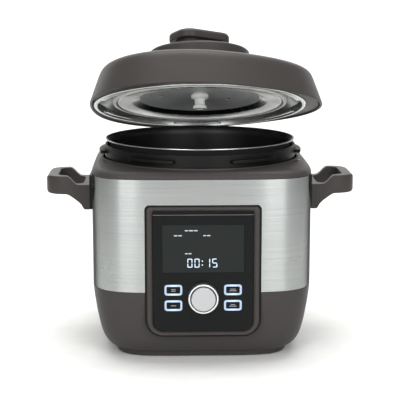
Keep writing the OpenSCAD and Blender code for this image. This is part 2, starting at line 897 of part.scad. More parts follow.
module lid_cap() {
    wall = 2.5;
    spigot_r = 59.7;
    edge = 4;
    color(charcoal) in_rest_pose() difference() {
        union() {
            rotate_extrude() polygon(concat(
                [[spigot_r - 2, shell_top_h - 4], [spigot_r, shell_top_h - 4], [spigot_r, shell_top_h + 0.1],
                 [cap_r, shell_top_h + 0.1]],
                [for (a = [0 : 15 : 90])
                    [cap_r - 0.8 - edge + edge * cos(a), cap_top_h - edge + edge * sin(a)]],
                [[0, cap_top_h], [0, cap_top_h - wall], [spigot_r - 4, cap_top_h - wall],
                 [spigot_r - 2, cap_top_h - wall - 2]]
            ));
            translate([0, 0, cap_top_h - eps]) linear_extrude(knob_h0 - cap_top_h)
                rounded_rect(knob_l - 14, knob_w - 14, 14);
        }
        at_knob_screws() cylinder_at(cap_top_h - 4, knob_h0 + 1, 2.3);
        for (k = [-2 : 2]) rotate([0, 0, 90 + 9 * k]) translate([50, 0, cap_top_h - 4])
            linear_extrude(6) rounded_rect(9, 2.6, 1.2);
    }
}

module at_knob_screws() {
    for (x = [-1, 1]) translate([x * 14, 0, 0]) children();
}

module lid_knob() {
    color(charcoal) in_rest_pose() difference() {
        union() {
            translate([0, 0, knob_h0]) linear_extrude(knob_h1 - knob_h0 - 3) rounded_rect(knob_l, knob_w, 17);
            translate([0, 0, knob_h1 - 3 - eps]) linear_extrude(3) rounded_rect(knob_l - 5, knob_w - 5, 15);
        }
        at_knob_screws() cylinder_at(knob_h0 - 1, knob_h0 + 8, 2.15);
    }
}

module knob_screws() {
    color(steel) in_rest_pose() at_knob_screws() {
        cylinder_at(cap_top_h - 5.4, cap_top_h - 2.6, 4);
        cylinder_at(cap_top_h - 2.7, knob_h0 + 7, 2);
    }
}

// Height of the pan's upper surface at a radius, inside its sloping shoulder
function pan_top(r) = 42 - 9.5 * r / 117.5;

module lid_pan() {
    color(steel) in_rest_pose() difference() {
        union() {
            rotate_extrude() polygon([
                [skirt_r0, 0], [skirt_r1, 0], [skirt_r1, 10], [121.5, 24.5], [117.5, pan_top(117.5)], [0, 42],
                [0, 40], [116.5, 30.4], [119.6, 23.6], [skirt_r0, 9.4]
            ]);
            for (k = [0 : lug_count - 1])
                ring_sector(lid_lug_r, skirt_r0 + 1, 1.5, 4.5, k * 360 / lug_count, lug_angle);
            at_lid_bosses() cylinder_at(pan_top(boss_ring_r) - 1, 43.5, 3);
            cylinder_at(-1, 41, 4);
        }
        at_valve(valve_angle) cylinder_at(30, 50, 4.6);
        at_valve(float_angle) cylinder_at(30, 50, 2.7);
    }
}

module at_valve(angle) {
    rotate([0, 0, angle]) translate([valve_r, 0, 0]) children();
}

module inner_plate() {
    t = 1.2;
    color(silver) in_rest_pose() difference() {
        rotate_extrude() polygon([
            [4.2, 19], [40, 18], [62, 14.6], [74, 10.6], [80, 8], [84, 6.6], [100.5, 4.6], [102.4, 6.5],
            [102.4, 9], [101.2, 9], [101.2, 7], [100, 4.6 + t], [84.4, 6.6 + t], [80.4, 8 + t],
            [74.4, 10.6 + t], [62.4, 14.6 + t], [40, 18 + t], [4.2, 19 + t]
        ]);
        at_valve(valve_angle) cylinder_at(0, 30, 3.75);
        at_valve(float_angle) cylinder_at(0, 30, 3.75);
    }
}

module plate_grommet() {
    color(white) in_rest_pose() rotate_extrude() polygon([
        [4.1, -2], [8.5, -2], [8.5, 1.5], [6.25, 3.5], [6.25, 10], [10.8, 11.5], [10.8, 16], [7, 18.9], [4.1, 18.9]
    ]);
}

module seal_rack() {
    color(steel) in_rest_pose() {
        ring_z(100.4, 102.6, 13, 23);
        for (a = [20 : 90 : 290]) ring_sector(100.7, 102.3, 22, 31.4, a, 6);
    }
}

// The seal turns freely in its groove, so its rest pose needs no turn of its own
module sealing_ring() {
    color("#d6d6d2") in_rest_pose(0) rotate_extrude() polygon([
        [seal_r0, 4], [106.5, 4], [107.5, 6], [107.5, 20], [109.5, 22.6], [115.5, 23.9], [115.5, 25.4], [113, 27],
        [seal_r0, 27]
    ]);
}

module anti_block_cap() {
    color(steel) in_rest_pose() at_valve(valve_angle) difference() {
        cylinder_at(22.5, 35.1, 9);
        cylinder_at(23.7, 40, 7.8);
        for (a = [0 : 45 : 315]) rotate([0, 0, a]) translate([5, -1, 26]) cube([6, 2, 7]);
    }
}

module valve_seat() {
    color(steel) in_rest_pose() at_valve(valve_angle) difference() {
        cylinder_at(30, 58, 4.5);
        cylinder_at(29, 59, 2.5);
    }
}

module steam_valve() {
    color(black) in_rest_pose() at_valve(valve_angle) difference() {
        cylinder_at(52, 62.5, 8.6);
        cylinder_at(51, 58.2, 4.58);
    }
}

module float_guide() {
    color(steel) in_rest_pose() at_valve(float_angle) difference() {
        cylinder_at(pan_top(valve_r) + 0.5, 56.8, 5);
        cylinder_at(30, 57, 2.6);
    }
}

module float_pin() {
    color(silver) in_rest_pose() at_valve(float_angle) {
        cylinder_at(25, 27, 5);
        cylinder_at(27 - eps, 57, 2.5);
        cylinder_at(57 - eps, 59, 4.2);
    }
}

module float_gasket() {
    color("#c9553c") in_rest_pose() at_valve(float_angle) difference() {
        cylinder_at(27.05, 29.5, 6);
        cylinder_at(26, 31, 2.55);
    }
}

// ---------- Nodes ----------

steel_band();
base_shell();
bottom_plate();
feet();
base_screws();
top_cover();
bayonet_ring();
ring_screws();
inner_liner();
heating_plate();
heating_element();
sensor_bracket();
temperature_sensor();
sensor_spring();
right_handle();
left_handle();
handle_pads();
handle_screws();
bezel();
front_panel();
display_lens();
display_digits();
lcd_module();
light_guides();
button_upper_left();
button_upper_right();
button_lower_left();
button_lower_right();
button_switches();
encoder_body();
encoder_plunger();
encoder_shaft();
dial_ring();
dial_cap();
control_board();
board_screws();
power_board();
power_parts();
power_inlet();
mains_leads();
cup_bracket();
condensation_cup();
inner_pot();
lid_shell();
lid_lower_cover();
lid_trim_ring();
lid_cap();
lid_knob();
knob_screws();
lid_pan();
inner_plate();
plate_grommet();
seal_rack();
anti_block_cap();
valve_seat();
steam_valve();
float_guide();
float_pin();
float_gasket();
sealing_ring();
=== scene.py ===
"""Looks for the electric pressure cooker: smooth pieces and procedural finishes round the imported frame.
Shapes are drawn in millimetres in the row frame and scaled to metres as each mesh is made."""

import json
import math

import bmesh
import bpy
from mathutils import Matrix, Vector


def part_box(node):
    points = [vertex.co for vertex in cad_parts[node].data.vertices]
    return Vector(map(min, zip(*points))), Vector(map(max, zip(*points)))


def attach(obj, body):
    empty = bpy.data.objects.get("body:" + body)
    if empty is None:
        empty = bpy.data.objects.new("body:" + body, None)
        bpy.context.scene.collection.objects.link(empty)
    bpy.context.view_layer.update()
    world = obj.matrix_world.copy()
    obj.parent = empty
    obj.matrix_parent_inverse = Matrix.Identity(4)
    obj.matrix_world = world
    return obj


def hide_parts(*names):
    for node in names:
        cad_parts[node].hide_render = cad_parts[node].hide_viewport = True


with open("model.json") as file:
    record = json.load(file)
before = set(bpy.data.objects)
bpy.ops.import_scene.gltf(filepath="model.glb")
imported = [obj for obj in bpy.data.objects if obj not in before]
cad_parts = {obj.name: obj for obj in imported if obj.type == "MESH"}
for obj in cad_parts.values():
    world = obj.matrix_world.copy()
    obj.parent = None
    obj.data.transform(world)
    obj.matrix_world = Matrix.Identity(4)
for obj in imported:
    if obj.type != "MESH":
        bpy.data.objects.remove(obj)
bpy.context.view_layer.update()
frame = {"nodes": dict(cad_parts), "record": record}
MM = 0.001


def box_mm(node):
    low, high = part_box(node)
    return low / MM, high / MM


# ---------- Places taken from the frame ----------

band_low, band_high = box_mm("steel_band")
HALF = band_high.x
BAND_Z0, BAND_Z1 = band_low.z, band_high.z
bezel_low, bezel_high = box_mm("bezel")
FACE_Y = bezel_low.y
PANEL_X = box_mm("front_panel")[1].x
PANEL_Z0, PANEL_Z1 = box_mm("front_panel")[0].z, box_mm("front_panel")[1].z
POT_Z0 = box_mm("inner_pot")[0].z
POT_Z1, POT_R = box_mm("inner_pot")[1].z, box_mm("inner_pot")[1].x
DIAL_Z = (box_mm("dial_ring")[0].z + box_mm("dial_ring")[1].z) / 2
LID = (
    Matrix.Translation((0, 198, 232))
    @ Matrix.Rotation(math.radians(-17), 4, "X")
    @ Matrix.Translation((0, -198, -5))
    @ Matrix.Rotation(math.radians(30), 4, "Z")
)
VALVE_ANGLE, FLOAT_ANGLE, VALVE_R = math.radians(136.6), math.radians(9), 48
LUGS = [math.radians(60 * k) for k in range(6)]


# ---------- Outlines and profiles ----------


def rounded(corners, closed=True, steps=4):
    """A line through corners (u, v, radius) with each corner turned into an arc of steps + 1 points."""
    out, count = [], len(corners)
    for i, corner in enumerate(corners):
        p = Vector(corner[:2])
        r = corner[2] if len(corner) > 2 else 0
        if r <= 0 or (not closed and i in (0, count - 1)):
            out.append(tuple(p))
            continue
        to_a = Vector(corners[i - 1][:2]) - p
        to_b = Vector(corners[(i + 1) % count][:2]) - p
        u, v = to_a.normalized(), to_b.normalized()
        half = u.angle(v) / 2
        reach = min(r / math.tan(half) if half < 1.55 else 0.2 * r, 0.45 * to_a.length, 0.45 * to_b.length)
        start, end = p + u * reach, p + v * reach
        if half > 1.55:
            out += [tuple(start.lerp(end, k / steps)) for k in range(steps + 1)]
            continue
        centre = p + (u + v).normalized() * (reach / math.cos(half))
        a, b = start - centre, end - centre
        turn = a.angle(b)
        for k in range(steps + 1):
            t = k / steps
            out.append(tuple(centre + (a * math.sin((1 - t) * turn) + b * math.sin(t * turn)) / math.sin(turn)))
    return out


def chaikin(points, times=3):
    """A smooth line inside an open control line, with the same ends."""
    for _ in range(times):
        cut = [points[0]]
        for a, b in zip(points, points[1:]):
            cut.append(tuple(0.75 * x + 0.25 * y for x, y in zip(a, b)))
            cut.append(tuple(0.25 * x + 0.75 * y for x, y in zip(a, b)))
        points = cut + [points[-1]]
    return points


def spaced(points, step):
    """An open line with no stretch longer than step."""
    out = [points[0]]
    for a, b in zip(points, points[1:]):
        parts = max(1, math.ceil(math.dist(a, b) / step))
        out += [tuple(x + (y - x) * k / parts for x, y in zip(a, b)) for k in range(1, parts + 1)]
    return out


def plan_points(count=240, power=5.3):
    """The body's rounded-square plan at half width 1, in equal steps."""
    def signed(v):
        return math.copysign(abs(v) ** (2 / power), v)

    fine = [(signed(math.cos(math.tau * k / 14400)),
             signed(math.sin(math.tau * k / 14400))) for k in range(14401)]
    run = [0]
    for a, b in zip(fine, fine[1:]):
        run.append(run[-1] + math.dist(a, b))
    out, k = [], 0
    for i in range(count):
        want = run[-1] * i / count
        while run[k + 1] < want:
            k += 1
        t = (want - run[k]) / (run[k + 1] - run[k])
        out.append(tuple(a + (b - a) * t for a, b in zip(fine[k], fine[k + 1])))
    return out


PLAN = plan_points()


def plan_ring(half, z):
    return [(half * x, half * y, z) for x, y in PLAN]


def round_ring(radius, z):
    """A circle whose points face those of the body's plan."""
    return [(radius * x / math.hypot(x, y), radius * y / math.hypot(x, y), z) for x, y in PLAN]


def lid_ring(radius, lobe, h, count=240):
    ring = []
    for i in range(count):
        a = math.tau * i / count
        r = radius + lobe * math.cos(3 * (a - math.pi / 2))
        ring.append((r * math.cos(a), r * math.sin(a), h))
    return ring


def outline(x0, x1, z0, z1, radii, steps=8):
    """A rounded rectangle; radii start at the lower right corner and go round to the lower left."""
    corners = [(x1, z0, radii[0]), (x1, z1, radii[1]), (x0, z1, radii[2]), (x0, z0, radii[3])]
    return rounded([(x, z, max(r, 0.05)) for x, z, r in corners], steps=steps)


def centred(w, h, r, cx=0.0, cz=0.0, steps=8):
    return outline(cx - w / 2, cx + w / 2, cz - h / 2, cz + h / 2, [r] * 4, steps)


# ---------- Meshes ----------


def build(name, verts, faces, matrix=None):
    mesh = bpy.data.meshes.new(name)
    points = [(matrix @ Vector(v) if matrix else Vector(v)) * MM for v in verts]
    mesh.from_pydata(points, [], faces)
    bm = bmesh.new()
    bm.from_mesh(mesh)
    bmesh.ops.remove_doubles(bm, verts=bm.verts, dist=2e-6)
    bmesh.ops.dissolve_degenerate(bm, edges=bm.edges, dist=1e-7)
    bmesh.ops.recalc_face_normals(bm, faces=bm.faces)
    bm.to_mesh(mesh)
    bm.free()
    obj = bpy.data.objects.new(name, mesh)
    bpy.context.scene.collection.objects.link(obj)
    return obj


def sheet(name, rows, around=True, along=False, keep=None, caps=False, matrix=None):
    """A grid of faces through rows of points; caps closes the first and last row with a flat face."""
    n, m = len(rows[0]), len(rows)
    verts = [p for row in rows for p in row]
    faces = []
    for j in range(m if along else m - 1):
        for i in range(n if around else n - 1):
            k, l = (i + 1) % n, (j + 1) % m
            quad = (j * n + i, j * n + k, l * n + k, l * n + i)
            if keep is None or keep([verts[q] for q in quad]):
                faces.append(quad)
    if caps:
        faces += [tuple(range(n - 1, -1, -1)), tuple(range((m - 1) * n, m * n))]
    return build(name, verts, faces, matrix)


def lathe(name, profile, matrix=None, steps=180, closed=True, ripple=None):
    """A profile of (radius, height) turned about Z; ripple(angle, radius, height) may change the radius."""
    rows = []
    for r, h in profile:
        row = []
        for i in range(steps):
            a = math.tau * i / steps
            q = ripple(a, r, h) if ripple else r
            row.append((q * math.cos(a), q * math.sin(a), h))
        rows.append(row)
    return sheet(name, rows, along=closed, matrix=matrix)


def block(name, shape, profile, place, matrix=None):
    """A closed solid: shape(inset) is an outline, profile lists (inset, depth),
    and place turns (u, v, depth) into a point."""
    rows = [[place(u, v, depth) for u, v in shape(inset)] for inset, depth in profile]
    return sheet(name, rows, caps=True, matrix=matrix)


def slab_profile(d0, d1, edge0, edge1):
    """Insets and depths of a plate from d0 to d1 with rounded edges at each side."""
    inner = max(edge0, edge1) + 0.2
    return rounded([(inner, d0), (0, d0, edge0), (0, d1, edge1), (inner, d1)], closed=False)


def on_panel(u, v, depth):
    return (u, FACE_Y + depth, v)


def upright(u, v, depth):
    return (u, v, depth)


def sector(name, section, mid, span, ring_matrix=None, steps=14):
    """A rounded section of (radius, height) points swept over part of a ring, with softened ends."""
    cu = sum(p[0] for p in section) / len(section)
    cv = sum(p[1] for p in section) / len(section)
    stations = [(0, 0.72), (0.012, 0.92), (0.03, 1)] + [(0.03 + 0.94 * k / steps, 1) for k in range(1, steps)]
    stations += [(0.97, 1), (0.988, 0.92), (1, 0.72)]
    rows = []
    for t, scale in stations:
        a = mid + span * (t - 0.5)
        rows.append([
            ((cu + (u - cu) * scale) * math.cos(a), (cu + (u - cu) * scale) * math.sin(a),
             cv + (v - cv) * scale)
            for u, v in section
        ])
    return sheet(name, rows, caps=True, matrix=ring_matrix)


def join(name, *objs):
    """One object from several, in the first one's place."""
    bm = bmesh.new()
    for o in objs:
        bm.from_mesh(o.data)
    bm.to_mesh(objs[0].data)
    bm.free()
    for o in objs[1:]:
        bpy.data.objects.remove(o)
    objs[0].name = objs[0].data.name = name
    return objs[0]


def apply_modifiers(obj):
    depsgraph = bpy.context.evaluated_depsgraph_get()
    mesh = bpy.data.meshes.new_from_object(obj.evaluated_get(depsgraph))
    obj.modifiers.clear()
    obj.data = mesh
    return obj


def carve(obj, *cutters):
    """Cuts each cutter out of obj and removes the cutter."""
    for cutter in cutters:
        cut = obj.modifiers.new("cut", "BOOLEAN")
        cut.operation, cut.solver, cut.object = "DIFFERENCE", "EXACT", cutter
    bpy.context.view_layer.update()
    apply_modifiers(obj)
    for cutter in cutters:
        bpy.data.objects.remove(cutter)
    return obj


def thicken(obj, wall):
    solid = obj.modifiers.new("wall", "SOLIDIFY")
    solid.thickness, solid.offset, solid.use_even_offset = wall * MM, -1, True
    bpy.context.view_layer.update()
    return apply_modifiers(obj)


def soften(obj, width, steps=2):
    """Rounds the sharp edges of a piece with a bevel that stays a modifier."""
    weld = obj.modifiers.new("weld", "WELD")
    weld.merge_threshold = 1e-6
    bevel = obj.modifiers.new("edges", "BEVEL")
    bevel.width, bevel.segments, bevel.limit_method = width * MM, steps, "ANGLE"
    bevel.angle_limit = math.radians(35)
    return obj


def put(obj, body, mats, nodes=(), angle=38):
    """Shades a finished piece, gives it its material and body, and hides the CAD nodes that it stands for."""
    obj.data.materials.clear()
    for mat in mats if isinstance(mats, (list, tuple)) else [mats]:
        obj.data.materials.append(mat)
    obj.data.shade_smooth()
    obj.data.set_sharp_from_angle(angle=math.radians(angle))
    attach(obj, body)
    if nodes:
        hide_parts(*nodes)
    return obj


# ---------- Materials ----------


def linear(code):
    out = []
    for k in (0, 2, 4):
        v = int(code[k:k + 2], 16) / 255
        out.append(v / 12.92 if v <= 0.04045 else ((v + 0.055) / 1.055) ** 2.4)
    return (*out, 1)


def finish(name, dark, light, rough, metal=0.0, grain=900, stretch=(1, 1, 1), vary=0.06, patch=14, bump=0.15,
           depth=0.03, cells=False, **sockets):
    """A procedural finish: fine grain in colour and bump, broad patches in roughness. Depth is in mm."""
    mat = bpy.data.materials.new(name)
    mat.use_nodes = True
    nodes, links = mat.node_tree.nodes, mat.node_tree.links
    shader = nodes["Principled BSDF"]
    shader.inputs["Metallic"].default_value = metal
    for socket, value in sockets.items():
        shader.inputs[socket.replace("_", " ")].default_value = value
    coord = nodes.new("ShaderNodeTexCoord")
    mapping = nodes.new("ShaderNodeMapping")
    mapping.inputs["Scale"].default_value = stretch
    links.new(coord.outputs["Object"], mapping.inputs["Vector"])
    fine = nodes.new("ShaderNodeTexVoronoi" if cells else "ShaderNodeTexNoise")
    fine.inputs["Scale"].default_value = grain
    if not cells:
        fine.inputs["Detail"].default_value = 5
    links.new(mapping.outputs["Vector"], fine.inputs["Vector"])
    value = fine.outputs["Distance"] if cells else fine.outputs["Fac"]
    ramp = nodes.new("ShaderNodeValToRGB")
    ramp.color_ramp.elements[0].position, ramp.color_ramp.elements[1].position = (0.1,
                                                                                  0.9) if cells else (0.3,
                                                                                                      0.7)
    ramp.color_ramp.elements[0].color, ramp.color_ramp.elements[1].color = linear(dark), linear(light)
    links.new(value, ramp.inputs["Fac"])
    links.new(ramp.outputs["Color"], shader.inputs["Base Color"])
    broad = nodes.new("ShaderNodeTexNoise")
    broad.inputs["Scale"].default_value = patch
    broad.inputs["Detail"].default_value = 6
    links.new(coord.outputs["Object"], broad.inputs["Vector"])
    span = nodes.new("ShaderNodeMapRange")
    span.inputs["From Min"].default_value, span.inputs["From Max"].default_value = 0.3, 0.7
    span.inputs["To Min"].default_value, span.inputs["To Max"].default_value = rough - vary / 2, rough + vary / 2
    links.new(broad.outputs["Fac"], span.inputs["Value"])
    links.new(span.outputs["Result"], shader.inputs["Roughness"])
    relief = nodes.new("ShaderNodeBump")
    relief.inputs["Strength"].default_value = bump
    relief.inputs["Distance"].default_value = depth * MM
    links.new(value, relief.inputs["Height"])
    links.new(relief.outputs["Normal"], shader.inputs["Normal"])
    return mat


def turned(mat, centre, axis, rings=2600, bump=0.12, depth=0.01):
    """Adds fine concentric marks about a line, as a lathe leaves them. The centre is in metres."""
    nodes, links = mat.node_tree.nodes, mat.node_tree.links
    coord = nodes.new("ShaderNodeTexCoord")
    move = nodes.new("ShaderNodeVectorMath")
    move.operation = "SUBTRACT"
    move.inputs[1].default_value = centre
    links.new(coord.outputs["Object"], move.inputs[0])
    cross = nodes.new("ShaderNodeVectorMath")
    cross.operation = "CROSS_PRODUCT"
    cross.inputs[1].default_value = axis
    links.new(move.outputs["Vector"], cross.inputs[0])
    length = nodes.new("ShaderNodeVectorMath")
    length.operation = "LENGTH"
    links.new(cross.outputs["Vector"], length.inputs[0])
    marks = nodes.new("ShaderNodeTexNoise")
    marks.noise_dimensions = "1D"
    marks.inputs["Scale"].default_value = rings
    marks.inputs["Detail"].default_value = 3
    links.new(length.outputs["Value"], marks.inputs["W"])
    relief = nodes.new("ShaderNodeBump")
    relief.inputs["Strength"].default_value = bump
    relief.inputs["Distance"].default_value = depth * MM
    links.new(marks.outputs["Fac"], relief.inputs["Height"])
    shader = nodes["Principled BSDF"]
    old = shader.inputs["Normal"].links[0].from_socket
    links.new(old, relief.inputs["Normal"])
    links.new(relief.outputs["Normal"], shader.inputs["Normal"])
    return mat


def brush_along_plan(mat, amount):
    """Stretches the highlights across horizontal brushing."""
    nodes, links = mat.node_tree.nodes, mat.node_tree.links
    shader = nodes["Principled BSDF"]
    shader.inputs["Anisotropic"].default_value = amount
    shader.inputs["Anisotropic Rotation"].default_value = 0.25
    tangent = nodes.new("ShaderNodeTangent")
    tangent.direction_type, tangent.axis = "RADIAL", "Z"
    links.new(tangent.outputs["Tangent"], shader.inputs["Tangent"])
    return mat


def glowing(mat, colour, strength, hot_x=None):
    """Makes a finish shine, with a brighter spot at each lamp where hot_x gives its distance from the middle."""
    nodes, links = mat.node_tree.nodes, mat.node_tree.links
    shader = nodes["Principled BSDF"]
    shader.inputs["Emission Color"].default_value = linear(colour)
    shader.inputs["Emission Strength"].default_value = strength
    if hot_x is not None:
        coord = nodes.new("ShaderNodeTexCoord")
        split = nodes.new("ShaderNodeSeparateXYZ")
        links.new(coord.outputs["Object"], split.inputs[0])
        side = nodes.new("ShaderNodeMath")
        side.operation = "ABSOLUTE"
        links.new(split.outputs["X"], side.inputs[0])
        away = nodes.new("ShaderNodeMath")
        away.operation, away.inputs[1].default_value = "SUBTRACT", hot_x
        links.new(side.outputs[0], away.inputs[0])
        size = nodes.new("ShaderNodeMath")
        size.operation = "ABSOLUTE"
        links.new(away.outputs[0], size.inputs[0])
        fall = nodes.new("ShaderNodeMapRange")
        fall.interpolation_type = "SMOOTHSTEP"
        fall.inputs["From Max"].default_value = 0.009
        fall.inputs["To Min"].default_value, fall.inputs["To Max"].default_value = strength * 1.6, strength * 0.75
        links.new(size.outputs[0], fall.inputs["Value"])
        links.new(fall.outputs["Result"], shader.inputs["Emission Strength"])
    return mat


CHARCOAL = finish("charcoal_moulded", "393635", "413e3d", 0.45, grain=1500, cells=True, bump=0.22, depth=0.02,
                  Specular_IOR_Level=0.16)
CHARCOAL_SATIN = finish("charcoal_satin", "393635", "413e3c", 0.4, grain=1700, cells=True, bump=0.15,
                        depth=0.015,
                        Specular_IOR_Level=0.18)
STEEL = brush_along_plan(
    finish("brushed_steel", "a2a5a4", "b4b7b6", 0.27, metal=1, grain=60, stretch=(0.12, 0.12, 30), vary=0.08,
           patch=6, bump=0.3, depth=0.02, Specular_Tint=(0.12, 0.12, 0.12, 1)), 0.75)
BLACK = finish("black_moulded", "0c0c0c", "131313", 0.44, grain=1500, cells=True, bump=0.2, depth=0.02,
               Specular_IOR_Level=0.16)
GLOSS = finish("black_gloss", "0e0f10", "121314", 0.22, grain=300, vary=0.06, patch=22, bump=0.02,
               Specular_IOR_Level=0.13)
LENS = finish("display_window", "1e2121", "232626", 0.32, grain=500, vary=0.05, patch=18, bump=0.02,
              Specular_IOR_Level=0.14)
LIT = glowing(finish("lit_segments", "b4c8da", "c6d8e8", 0.5, grain=1200, bump=0.02), "cfe6ff", 0.5)
GUIDE = glowing(finish("lit_frames", "7f93a8", "8fa3b8", 0.4, grain=1200, bump=0.02), "cfe2fb", 0.5,
                hot_x=0.0344)
CAPTION = glowing(finish("dim_captions", "a9b2ba", "bcc4cb", 0.5, grain=1200, bump=0.02), "dfe9f3", 0.16)
LABEL = glowing(finish("dim_labels", "85898e", "9a9ea2", 0.5, grain=1200, bump=0.02), "c8ccd2", 0.06)
SLOT_EDGE = finish("slot_edge", "6e6e6e", "7c7c7c", 0.5, grain=1200, bump=0.05)
RUBBER = finish("black_rubber", "0c0c0c", "141414", 0.75, grain=900, vary=0.12, bump=0.4, depth=0.05,
                Specular_IOR_Level=0.2)
ENAMEL = finish("black_enamel", "0a0a0a", "101010", 0.36, grain=700, vary=0.12, patch=30, bump=0.12,
                Specular_IOR_Level=0.3)
NONSTICK = finish("non_stick", "0c0c0c", "151515", 0.4, grain=1100, vary=0.14, patch=26, bump=0.25,
                  depth=0.02)
ANODISED = finish("dark_anodised", "232223", "2b2a2b", 0.45, metal=0.2, grain=900, vary=0.1, bump=0.12,
                  Specular_IOR_Level=0.25)
RIM = finish("bare_rim", "b9babb", "d2d3d3", 0.24, metal=1, grain=600, vary=0.08, bump=0.1)
AXIS = tuple((LID.to_3x3() @ Vector((0, 0, 1))).normalized())
LID_CENTRE = tuple(LID @ Vector((0, 0, 0)) * MM)
POLISHED = turned(
    finish("polished_steel", "9fa1a1", "b1b3b3", 0.24, metal=1, grain=500, vary=0.08, patch=24, bump=0.04),
    LID_CENTRE,
    AXIS, rings=1500, bump=0.12, depth=0.006)
PLATE = turned(
    finish("satin_plate", "b0b3b2", "bcbfbe", 0.46, metal=0.2, grain=700, vary=0.1, patch=24, bump=0.08),
    LID_CENTRE, AXIS,
    rings=1500, bump=0.1, depth=0.006)
TRIM = finish("bright_trim", "a9abab", "bbbdbd", 0.16, metal=1, grain=700, vary=0.05, bump=0.03)
DIAL_EDGE = finish("dial_edge", "dcdddf", "ecedee", 0.3, metal=1, grain=900, vary=0.06, bump=0.05)
DIAL_FACE = turned(
    finish("dial_face", "b2b3b5", "c0c1c3", 0.44, metal=0.75, grain=1400, vary=0.06, bump=0.06),
    (0, 0, DIAL_Z * MM), (0, 1, 0), rings=3800, bump=0.18, depth=0.008)
BARE = finish("bare_steel", "9b9c9c", "b2b3b3", 0.34, metal=1, grain=260, stretch=(1, 1, 6), vary=0.14,
              bump=0.15)
SCREW = finish("zinc_screw", "8f9192", "a9abac", 0.3, metal=1, grain=800, vary=0.14, bump=0.12)
CAST = finish("cast_aluminium", "9a9b9b", "b3b4b4", 0.46, metal=1, grain=700, vary=0.16, bump=0.35,
              depth=0.05)
BOARD = finish("circuit_board", "1d4a2a", "2d6238", 0.42, grain=320, stretch=(1, 1, 1), vary=0.1, cells=True,
               bump=0.3)
COPPER = finish("lead_sleeve", "7a3a1c", "8a4522", 0.5, grain=800, vary=0.1, bump=0.2)
CLEAR = finish("smoky_clear", "c9d0d0", "d6dcdc", 0.14, grain=400, vary=0.08, bump=0.03,
               Transmission_Weight=0.85,
               IOR=1.49)
SILICONE_WHITE = finish("white_silicone", "efefec", "f6f6f3", 0.45, grain=900, vary=0.08, bump=0.08,
                        Subsurface_Weight=0.25, Subsurface_Scale=0.003)
SILICONE_CLEAR = finish("milky_silicone", "b9bab7", "cbccc8", 0.38, grain=800, vary=0.1, bump=0.1,
                        Subsurface_Weight=0.35, Subsurface_Scale=0.004)
SILICONE_RED = finish("red_silicone", "a83c26", "bb4a32", 0.46, grain=800, vary=0.1, bump=0.1,
                      Subsurface_Weight=0.2, Subsurface_Scale=0.003)
WHITE_PLASTIC = finish("white_plastic", "d9d9d4", "e6e6e1", 0.4, grain=900, vary=0.08, bump=0.1)

BY_SLOT = {
    "steel_brushed": STEEL, "charcoal_plastic": CHARCOAL, "black_plastic": BLACK, "rubber_black": RUBBER,
    "screw_steel": SCREW, "black_enamel": ENAMEL, "bare_steel": BARE, "cast_aluminium": CAST,
    "nonstick": NONSTICK,
    "polished_steel": POLISHED, "dial_metal": DIAL_FACE, "gloss_black": GLOSS, "display_dark": LENS,
    "lit_white": LIT, "circuit_green": BOARD, "lead_sleeve": COPPER, "cup_clear": CLEAR,
    "silicone_white": SILICONE_WHITE, "silicone_clear": SILICONE_CLEAR, "silicone_red": SILICONE_RED,
    "plunger_white": WHITE_PLASTIC,
}
for subpart in frame["record"]["subparts"]:
    node = frame["nodes"][subpart["node"]]
    node.data.materials.clear()
    node.data.materials.append(BY_SLOT[subpart["material_slot"]])


# ---------- Body ----------


def behind_bezel(quad, margin=1.2):
    """True where a face lies wholly behind the bezel's own outline."""
    for x, y, z in quad:
        if y > 0:
            return False
        dx = abs(x) - (bezel_high.x - margin)
        low, high = bezel_low.z + margin - z, z - (bezel_high.z - margin)
        if dx > 0 or low > 0 or high > 0:
            return False
        corner = bezel_low.z + 20 - z
        side = abs(x) - (bezel_high.x - 20)
        if corner > 0 and side > 0 and math.hypot(corner, side) > 20 - margin:
            return False
    return True


def behind_inlet(quad):
    return all(y > 0 and abs(x) < 16.4 and 27.5 < z < 52.5 for x, y, z in quad)


heights = [p[0] for p in spaced([(BAND_Z0 + 0.15, 0), (BAND_Z1 - 0.15, 0)], 4)]
band = sheet("steel_sleeve", [plan_ring(HALF, z) for z in heights], keep=lambda q: not behind_bezel(q))
put(thicken(band, 0.8), "root", STEEL, ["steel_band"])

skirt = rounded([(102.2, 1.1), (104.4, 1.1, 0.5), (105.2, 7.2, 0.3), (107.2, 7.9, 0.6), (110, 9.2, 2),
                 (113.5, 12, 3)],
                closed=False)
side_line = [(113.5, 12), (117.5, 17), (121, 24), (124.6, 38), (127.8, 56), (130, 72), (HALF - 0.05, 82),
             (HALF, 84.3)]
base_line = skirt + spaced(chaikin(side_line, 3), 4)[1:] + [(HALF - 0.12, 84.75), (HALF - 0.5, 85),
                                                            (HALF - 1.2, 85)]
base = sheet("base_housing", [plan_ring(h, z) for h, z in base_line],
             keep=lambda q: not behind_bezel(q) and not behind_inlet(q))
floor = sheet("base_floor", [plan_ring(h, z) for h, z in [(66, 12.1), (103, 12.1), (103, 14.6), (66, 14.6)]],
              along=True)
put(join("base_housing", thicken(base, 2.4), floor), "root", CHARCOAL, ["base_shell"])

shoulder = chaikin([(HALF - 0.35, 217.25), (HALF, 218), (130.7, 219.5), (129.7, 222), (127.8, 224.2),
                    (125.2, 225.6),
                    (122.4, 226)], 3)
cover_rows = [plan_ring(HALF - 0.95, 209), plan_ring(HALF - 0.95, 217)]
cover_rows += [plan_ring(h, z) for h, z in shoulder]
cover_rows += [round_ring(r, z) for r, z in [(122.5, 226), (121.95, 226.2), (121.8, 226.7), (121.8, 227.4),
                                             (121.6, 227.85), (121.1, 228), (119.9, 228), (119.5, 227.6),
                                             (119.5, 223.4)]]
cover_rows += [plan_ring(h, z) for h, z in [(121, 223.4), (126, 221.4), (127.8, 219), (127.8, 209)]]
put(sheet("top_housing", cover_rows, along=True), "root", CHARCOAL, ["top_cover"])

